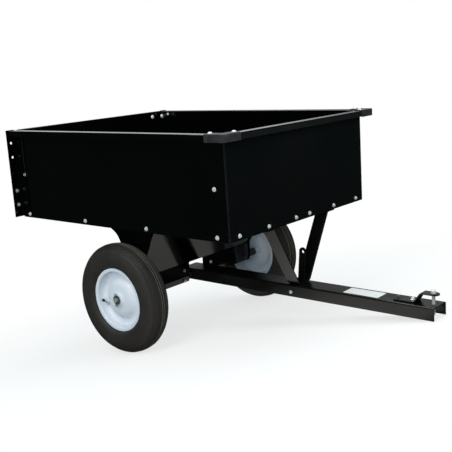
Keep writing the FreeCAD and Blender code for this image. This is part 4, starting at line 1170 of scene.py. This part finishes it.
def valve(side, sign):
    """A flared foot and a plain metal neck turned as one piece, and a ribbed black cap."""
    d = Vector((-0.34, 0.70 * sign, 0.66)).normalized()
    base = Vector((AX - 75.0, sign * 386.0, AZ - 32.5))
    m = along(base, d)
    neck = bmesh.new()
    turned(neck, [(0, 0.2), (6.2, 0.2), (6.3, 1.2), (5.0, 2.4), (3.4, 3.4), (3.0, 5.0), (2.9, 17.6), (3.2, 18.0), (3.2, 19.4),
                  (2.6, 20.0), (2.5, 22.4), (0, 22.4)], m, 28, closed=False)
    # the neck's bluish dark tone is painted shade
    finish_piece("valve_%s_neck" % side, neck, NECK_SHADED, "wheel_" + side, angle=40.0)
    bm = bmesh.new()
    cap = [(0, 21.5), (4.2, 21.5), (4.9, 22.2), (4.9, 28.6), (4.4, 29.9), (3.1, 30.5), (0, 30.6)]
    turned(bm, cap, m, 36, closed=False)
    # ribs on the cap
    for k in range(18):
        a = 2 * math.pi * k / 18
        mm = m @ Matrix.Rotation(a, 4, "Z")
        pts = [(4.75, -0.34), (5.15, -0.22), (5.15, 0.22), (4.75, 0.34)]
        low = [bm.verts.new(mm @ Vector((x, y, 22.6))) for x, y in pts]
        high = [bm.verts.new(mm @ Vector((x, y, 28.4))) for x, y in pts]
        bm.faces.new(low[::-1])
        bm.faces.new(high)
        for i in range(4):
            j = (i + 1) % 4
            bm.faces.new((low[i], low[j], high[j], high[i]))
    return finish_piece("valve_%s_cap" % side, bm, VALVE_MAT, "wheel_" + side, ("valve_" + side,),
                        angle=40.0)


for SIDE, SIGN in (("right", -1), ("left", 1)):
    tyre(SIDE, SIGN)
    rim(SIDE, SIGN)
    hub(SIDE, SIGN)
    valve(SIDE, SIGN)


def axle_bar():
    bm = bmesh.new()
    m = along((AX, 0.0, AZ), (0, 1, 0))
    turned(bm, [(0, -422.5), (6.6, -422.5), (7.95, -421.1), (7.95, 421.1), (6.6, 422.5), (0, 422.5)], m, 48, closed=False)
    bm = carve(bm, [rod((AX, s * 417.4, AZ), (0, 0, 1), 2.0, 30.0, 20) for s in (-1, 1)])
    return finish_piece("axle_bar", bm, ZINC_MID, "bed", ("axle",), bevel=0.3, angle=35.0)


axle_bar()


def cotter(bm, sign):
    """Split pin through the axle's end, with its legs bent apart."""
    y = sign * 417.4
    for leg in (-1, 1):
        pts = [(AX + leg * 1.0, y, AZ + z) for z in (14.0, 7.0, 0.0, -7.0, -14.4)]
        for i in range(1, 8):
            a = i / 7 * math.radians(24)
            pts.append((AX + leg * (1.0 + 7.0 * (1 - math.cos(a))), y, AZ - 14.4 - 7.0 * math.sin(a)))
        end = Vector(pts[-1])
        d = (end - Vector(pts[-2])).normalized()
        pts.append(tuple(end + d * 7.0))
        wire_path(bm, pts, 1.25, 8)
    loop = []
    for i in range(27):
        a = math.radians(-76 + 332 * i / 26)
        loop.append((AX + 4.4 * math.cos(a), y, AZ + 18.4 + 5.0 * math.sin(a)))
    wire_path(bm, loop, 1.25, 8)


for SIGN in (-1, 1):
    cotter(hardware(("bed", "DULL")), SIGN)

# ---------------------------------------------------------------------------
# Fasteners
# ---------------------------------------------------------------------------
BED = ("bed", "ZINC")
for SIGN in (-1, 1):
    # side panels
    for x in (-1006.0, -677.0, -362.6, -47.4):
        bolt_head(BED, (x, SIGN * (W + (2.5 if x < -1007 else 0.0)), 14.0), (0, SIGN, 0))
        nut(BED, (x, SIGN * (W - 4.6), 14.0), (0, -SIGN, 0), stud_out=3.5)
    # The rear bolt head of this pair takes the darker mid zinc, painted shade.
    for x, z in ((-47.0, 166.0), (-1008.6, 167.0)):
        rear = x < -1000
        bolt_head(("bed", "MID") if rear else BED, (x, SIGN * (W + (2.5 if rear else 0.0)), z), (0, SIGN, 0),
                  across=8.0 if rear else 9.0, washer=6.0 if rear else 7.4)
        if x > -1000:
            nut(BED, (x, SIGN * (W - 4.4), z), (0, -SIGN, 0), stud_out=3.5)
    # front panel
    for y in (340.7, 190.8, 39.6):
        bolt_head(BED, (0.0, SIGN * y, 14.0), (1, 0, 0))
        nut(BED, (-4.2, SIGN * y, 14.0), (-1, 0, 0), stud_out=3.5)
    # corner caps
    for x, y in ((-33.0, W + 18.0), (17.0, 358.5)):
        dome_head(BED, (x, SIGN * y, H + 2.7), (0, 0, 1), radius=7.6, height=4.4)
    # rear posts; their bolt heads take the darker mid zinc, painted shade
    for z in (51.0, 105.0):
        bolt_head(("bed", "MID"), (-1047.0, SIGN * (W + 18.5), z), (1, 0, 0), across=9.0, height=5.0, washer=7.0)
        nut(BED, (-1049.4, SIGN * (W + 20.5), z), (-1, 0, 0), stud_out=3.0)
    for z in (56.0, 110.0, 236.0, 291.0):
        dome_head(("bed", "BLACK"), (-1030.0, SIGN * (W + 2.5), z), (0, SIGN, 0), radius=5.2, height=2.6)
    # top of the guides and of the side panels, seen from inside
    bolt_head(BED, (-1020.4, SIGN * 377.0, 315.0), (1, 0, 0), washer=8.6)
    bolt_head(BED, (-990.5, SIGN * 385.8, 323.0), (0, -SIGN, 0), across=8.0, height=3.0, washer=5.6)
    nut(("bed", "DULL"), (-1000.0, SIGN * 385.8, 60.0), (0, -SIGN, 0), stud_out=3.0)
    # tailgate
    bolt_head(("tailgate", "ZINC"), (-1028.5, SIGN * 325.0, 316.0), (1, 0, 0), washer=8.6, height=3.6)
    # axle support flanges under the floor, and their nuts inside the bed
    for y in (290.0, 150.0, 60.0):
        dome_head(("bed", "BLACK"), (AX + 143.0, SIGN * y, -2.6), (0, 0, -1), radius=8.0, height=4.0)
        nut(BED, (AX + 143.0, SIGN * y, 2.4), (0, 0, 1), stud_out=3.0)
    for y in (225.0, 90.0):
        dome_head(("bed", "BLACK"), (AX - 143.0, SIGN * y, -2.6), (0, 0, -1), radius=8.0, height=4.0)
        nut(BED, (AX - 143.0, SIGN * y, 2.4), (0, 0, 1), stud_out=3.0)
    # latch stand feet
    dome_head(("bed", "BLACK"), (-29.0, SIGN * 181.0, -5.1), (0, 0, -1), radius=8.0, height=3.6)
    nut(BED, (-29.0, SIGN * 181.0, 2.4), (0, 0, 1), stud_out=3.0)
    # troughs; the near side's front bolt head takes the darker mid zinc, painted shade
    bolt_head(("bed", "MID") if SIGN < 0 else BED, (AX + 13.5, SIGN * (74.6 if SIGN < 0 else 76.0), -229.4), (1, 0, 0),
              across=8.0, height=2.8, washer=6.2)
    nut(BED, (AX - 13.5, SIGN * 73.0, -231.0), (-1, 0, 0))
    nut(("bed", "DULL"), (AX - 13.5, SIGN * 250.0, -231.0), (-1, 0, 0))
    dome_head(("bed", "BLACK"), (AX + 13.5, SIGN * 250.0, -231.0), (1, 0, 0), radius=7.0, height=3.0)
    bolt_head(BED, (AX + 8.6, SIGN * 70.5, -270.6), (0.94, 0, -0.33), across=7.0, washer=5.2, height=3.2)
# strap bolts and their nuts below the web
for x, kind, big in ((357.5, "DULL", 7.2), (408.0, "ZINC", 8.4)):
    bolt_head(("drawbar", kind), (x, 0.0, -223.0), (0, 0, 1), across=11.0, height=4.4, washer=big)
    nut(("drawbar", "ZINC"), (x, 0.0, -230.6), (0, 0, -1), across=13.0, height=6.5, stud=4.0, stud_out=5.0, washer=9.5)
# latch pin's head and its clip washer
bolt_head(("drawbar", "ZINC"), (-35.0, -43.4, -252.5), (0, -1, 0), across=9.4, height=2.6, washer=6.0, washer_t=1.0)
nut(("drawbar", "ZINC"), (-35.0, 41.8, -252.5), (0, 1, 0), across=9.4, height=3.0, stud=3.0, stud_out=1.5, washer=6.6)

# The mid key gives bolt heads the darker mid zinc: painted shade where they sit in shadow.
KEYS = {"ZINC": (ZINC, "zinc_plate"), "BLACK": (BLACK_BAR, "black_enamel"), "DULL": (ZINC_DULL, "zinc_plate"),
        "MID": (ZINC_MID, "zinc_plate")}
for (BODY, KIND), BM in HARDWARE.items():
    MATERIAL, SLOT = KEYS[KIND]
    finish_piece("fasteners_%s_%s" % (BODY, KIND.lower()), BM, MATERIAL, BODY, angle=30.0)

# CAD nodes whose shape stays
for NODE, MATERIAL in (("axle_spacer_right", STEEL_DARK), ("axle_spacer_left", STEEL_DARK),
                       ("wheel_spacer_right", STEEL_DARK), ("wheel_spacer_left", STEEL_DARK),
                       ("axle_washer_right", ZINC_DULL), ("axle_washer_left", ZINC_DULL), ("latch_pin", ZINC)):
    OBJ = frame["nodes"][NODE]
    OBJ.data.materials.clear()
    OBJ.data.materials.append(MATERIAL)

# Every CAD node still showing has a finished material.
DONE = {m.name for m in (BLACK, BLACK_BAR, BLACK_CAP, WHITE, ZINC, ZINC_DULL, STEEL_DARK, TYRE_MAT, TYRE_RIB_WEAR_HIGHLIGHT, VALVE_MAT, LABEL,
                      BLACK_LIP_LIT, BLACK_EDGE_HIGHLIGHT, BLACK_FRONT_LIT, BLACK_CORNER_HIGHLIGHT, BLACK_DULL, ZINC_MID, NECK_SHADED)}
for NODE, OBJ in frame["nodes"].items():
    if not OBJ.hide_render and not any(m and m.name in DONE for m in OBJ.data.materials):
        OBJ.data.materials.clear()
        OBJ.data.materials.append(BLACK)

# ---------------------------------------------------------------------------
# Stage: pale floor, soft light, camera
# ---------------------------------------------------------------------------


def disc(name, radius, z, centre, rings_n=1, count=96):
    bm = bmesh.new()
    last = [bm.verts.new((centre[0], centre[1], z))]
    for i in range(1, rings_n + 1):
        r = radius * i / rings_n
        ring_v = [bm.verts.new((centre[0] + r * math.cos(2 * math.pi * k / count),
                                centre[1] + r * math.sin(2 * math.pi * k / count), z)) for k in range(count)]
        for k in range(count):
            j = (k + 1) % count
            if len(last) == 1:
                bm.faces.new((last[0], ring_v[k], ring_v[j]))
            else:
                bm.faces.new((last[k], ring_v[k], ring_v[j], last[j]))
        last = ring_v
    mesh = bpy.data.meshes.new(name)
    bm.to_mesh(mesh)
    bm.free()
    obj = bpy.data.objects.new(name, mesh)
    scene.collection.objects.link(obj)
    return obj


CENTRE = Vector((-0.1, 0.0, 0.0))


def radial(m, inner, outer):
    """0 inside the inner radius, 1 outside the outer one, about the object."""
    geo = m.add("ShaderNodeNewGeometry")
    sub = m.add("ShaderNodeVectorMath", operation="SUBTRACT")
    sub.inputs[1].default_value = CENTRE
    m.link(geo.outputs["Position"], sub.inputs[0])
    flat = m.add("ShaderNodeVectorMath", operation="MULTIPLY")
    flat.inputs[1].default_value = (1.0, 1.0, 0.0)
    m.link(sub.outputs["Vector"], flat.inputs[0])
    length = m.add("ShaderNodeVectorMath", operation="LENGTH")
    m.link(flat.outputs["Vector"], length.inputs[0])
    return m.remap(length.outputs["Value"], inner, outer, 0.0, 1.0, smooth=True)


WORLD_WHITE = 1.0
floor = disc("floor", 9.0, 0.0, CENTRE)
fm = Mat("floor_paper")
fm.set(Metallic=0.0, Roughness=0.9)
fm.bsdf.inputs["Specular IOR Level"].default_value = 0.1
grain = fm.noise(60.0, 3.0, 0.5)
fm.link(fm.mix(grain, (0.86, 0.86, 0.86), (0.89, 0.89, 0.89)), fm.bsdf.inputs["Base Color"])
glow = fm.add("ShaderNodeEmission")
glow.inputs["Color"].default_value = (1, 1, 1, 1)
glow.inputs["Strength"].default_value = WORLD_WHITE
blend = fm.add("ShaderNodeMixShader")
seen = fm.add("ShaderNodeLightPath").outputs["Is Camera Ray"]
white = fm.remap(radial(fm, 0.7, 1.8), 0.0, 1.0, 0.70, 1.0)
fm.link(white, blend.inputs[0])
fm.link(fm.bsdf.outputs["BSDF"], blend.inputs[1])
fm.link(glow.outputs["Emission"], blend.inputs[2])
dim = fm.add("ShaderNodeEmission")
dim.inputs["Color"].default_value = (0.52, 0.88, 1.0, 1)
fm.link(radial(fm, 0.75, 2.4), dim.inputs["Strength"])
choose = fm.add("ShaderNodeMixShader")
fm.link(seen, choose.inputs[0])
fm.link(dim.outputs["Emission"], choose.inputs[1])
fm.link(blend.outputs["Shader"], choose.inputs[2])
fm.link(choose.outputs["Shader"], fm.out.inputs["Surface"])
floor.data.materials.append(fm.mat)
floor.visible_glossy = False


def only_mirrored(obj):
    """A card or floor patch that polished surfaces mirror, and nothing else."""
    obj.visible_camera = False
    obj.visible_diffuse = False
    obj.visible_shadow = False
    obj.visible_transmission = False
    obj.visible_volume_scatter = False


# The part of the floor that polished surfaces mirror.
near = disc("floor_near", 2.4, 0.0006, CENTRE)
nm = Mat("floor_near_paper")
shine = nm.add("ShaderNodeEmission")
shine.inputs["Color"].default_value = (1.0, 0.985, 0.94, 1)
geo = nm.add("ShaderNodeNewGeometry")
parts = nm.add("ShaderNodeSeparateXYZ")
nm.link(geo.outputs["Position"], parts.inputs[0])
px = nm.math("ADD", parts.outputs["X"], 0.15)
py = nm.math("DIVIDE", parts.outputs["Y"], 1.15)
dist = nm.math("SQRT", nm.math("ADD", nm.math("MULTIPLY", px, px), nm.math("MULTIPLY", py, py)), 0.0)
mask = nm.remap(dist, 0.86, 1.08, 1.0, 0.0, smooth=True)
mask = nm.math("MULTIPLY", mask, nm.remap(parts.outputs["X"], 0.64, 0.76, 1.0, 0.0, smooth=True))
mask = nm.math("MULTIPLY", mask, nm.remap(parts.outputs["Y"], 0.345, 0.395, 1.0, 0.0, smooth=True))
shade = nm.math("MULTIPLY", nm.remap(parts.outputs["X"], -0.28, -0.14, 1.0, 0.0, smooth=True),
                nm.remap(parts.outputs["Y"], -0.44, -0.32, 1.0, 0.0, smooth=True))
mask = nm.math("MULTIPLY", mask, nm.math("SUBTRACT", 1.0, shade))
shade = nm.math("MULTIPLY", nm.remap(parts.outputs["X"], -0.08, 0.02, 0.0, 1.0, smooth=True),
                nm.remap(parts.outputs["Y"], -0.05, 0.05, 0.0, 1.0, smooth=True))
mask = nm.math("MULTIPLY", mask, nm.math("SUBTRACT", 1.0, shade))
level = nm.remap(parts.outputs["X"], -0.25, 0.30, 0.36, 0.90, smooth=True)
nm.link(nm.math("ADD", nm.math("MULTIPLY", mask, level), 0.015), shine.inputs["Strength"])
nm.link(shine.outputs["Emission"], nm.out.inputs["Surface"])
near.data.materials.append(nm.mat)
only_mirrored(near)

world = bpy.data.worlds.new("studio")
scene.world = world
world.use_nodes = True
wt = world.node_tree
wt.nodes.clear()
wo = wt.nodes.new("ShaderNodeOutputWorld")
back = wt.nodes.new("ShaderNodeBackground")
back.inputs["Color"].default_value = (1, 1, 1, 1)
back.inputs["Strength"].default_value = WORLD_WHITE
fill = wt.nodes.new("ShaderNodeBackground")
fill.inputs["Color"].default_value = (0.54, 0.93, 1.0, 1)
fill.inputs["Strength"].default_value = 0.30
mirror = wt.nodes.new("ShaderNodeBackground")
mirror.inputs["Color"].default_value = (0.85, 0.97, 1.0, 1)
mirror.inputs["Strength"].default_value = 0.020
path = wt.nodes.new("ShaderNodeLightPath")
m1 = wt.nodes.new("ShaderNodeMixShader")
m2 = wt.nodes.new("ShaderNodeMixShader")
wt.links.new(path.outputs["Is Glossy Ray"], m1.inputs[0])
wt.links.new(fill.outputs[0], m1.inputs[1])
wt.links.new(mirror.outputs[0], m1.inputs[2])
wt.links.new(path.outputs["Is Camera Ray"], m2.inputs[0])
wt.links.new(m1.outputs[0], m2.inputs[1])
wt.links.new(back.outputs[0], m2.inputs[2])
wt.links.new(m2.outputs[0], wo.inputs["Surface"])


def softbox(name, place, target, width, height, power, color=(1, 1, 1), glossy=True):
    data = bpy.data.lights.new(name, "AREA")
    data.shape = "RECTANGLE"
    data.size, data.size_y = width, height
    data.energy = power
    data.color = color
    obj = bpy.data.objects.new(name, data)
    scene.collection.objects.link(obj)
    obj.location = place
    obj.rotation_euler = (Vector(target) - Vector(place)).to_track_quat("-Z", "Y").to_euler()
    obj.visible_glossy = glossy
    obj.visible_camera = False
    return obj


# Camera, placed relative to the cart
CAM_C = Vector((1552.45, -2181.20, 561.58))
CAM_R = Vector((0.76064929, 0.64607359, -0.06325795))
CAM_U = Vector((-0.08803154, 0.19920429, 0.97599595))
CAM_F = Vector((-0.64316646, 0.73682194, -0.20839945))
cam_data = bpy.data.cameras.new("camera")
cam_data.sensor_fit = "HORIZONTAL"
cam_data.sensor_width = 36.0
cam_data.lens = 63.45
cam_data.clip_start, cam_data.clip_end = 0.05, 100.0
camera = bpy.data.objects.new("camera", cam_data)
scene.collection.objects.link(camera)
rot = Matrix((TURN @ CAM_R, TURN @ CAM_U, -(TURN @ CAM_F))).transposed()
camera.matrix_world = Matrix.Translation(CART @ CAM_C) @ rot.to_4x4()
scene.camera = camera

cam_pos = CART @ CAM_C
ahead = (TURN @ CAM_F).normalized()
flat_ahead = Vector((ahead.x, ahead.y, 0)).normalized()
right_h = Vector((flat_ahead.y, -flat_ahead.x, 0))

# A card behind the cart, dim low down and bright from rim height up.
card_mid = CENTRE + flat_ahead * 1.5
bm = bmesh.new()
quad = [bm.verts.new(card_mid + right_h * a + Vector((0, 0, b)))
        for a, b in ((-1.9, 0.25), (1.9, 0.25), (1.9, 2.1), (-1.9, 2.1))]
bm.faces.new(quad)
card_mesh = bpy.data.meshes.new("back_card")
bm.to_mesh(card_mesh)
bm.free()
card = bpy.data.objects.new("back_card", card_mesh)
scene.collection.objects.link(card)
cm = Mat("back_card_paper")
lit = cm.add("ShaderNodeEmission")
lit.inputs["Color"].default_value = (0.98, 0.99, 1.0, 1)
cgeo = cm.add("ShaderNodeNewGeometry")
cparts = cm.add("ShaderNodeSeparateXYZ")
cm.link(cgeo.outputs["Position"], cparts.inputs[0])
aside = cm.add("ShaderNodeVectorMath", operation="DOT_PRODUCT")
cm.link(cgeo.outputs["Position"], aside.inputs[0])
aside.inputs[1].default_value = right_h
reach = cm.math("SUBTRACT", aside.outputs["Value"], float(right_h.dot(card_mid)))
patch = cm.math("MULTIPLY", cm.remap(cparts.outputs["Z"], 0.69, 0.74, 0.0, 1.0, smooth=True),
                cm.remap(cparts.outputs["Z"], 0.794, 0.812, 1.0, 0.0, smooth=True))
patch = cm.math("MULTIPLY", patch, cm.remap(reach, 0.08, 0.15, 0.45, 0.0, smooth=True))
cm.link(cm.math("ADD", cm.remap(cparts.outputs["Z"], 0.92, 1.12, 0.14, 0.80, smooth=True), patch), lit.inputs["Strength"])
cm.link(lit.outputs["Emission"], cm.out.inputs["Surface"])
card_mesh.materials.append(cm.mat)
only_mirrored(card)

# key: large, high, from the camera's side; fill from above and from the right
softbox("key", Vector((0.9, -2.6, 2.9)), (0, 0, 0.35), 1.8, 1.8, 56.0, (1.0, 0.985, 0.96))
softbox("front", Vector((1.3, -3.2, 0.75)), (-0.1, 0, 0.3), 2.6, 1.3, 56.0, (1.0, 0.985, 0.98), glossy=False)
softbox("top", Vector((-0.2, 0.3, 3.4)), (-0.1, 0, 0.3), 2.6, 2.6, 60.0, (0.97, 0.985, 1.0))
softbox("side", Vector((2.9, 0.6, 1.8)), (0, 0, 0.4), 1.4, 1.6, 50.0, (1, 1, 1))
softbox("back", CENTRE + flat_ahead * 3.0 + Vector((0, 0, 2.2)), (0, 0, 0.6), 3.0, 1.6, 26.0, (1, 1, 1), glossy=False)

scene.view_settings.view_transform = "Standard"
scene.view_settings.look = "None"
scene.view_settings.exposure = 0.0
scene.view_settings.gamma = 1.0
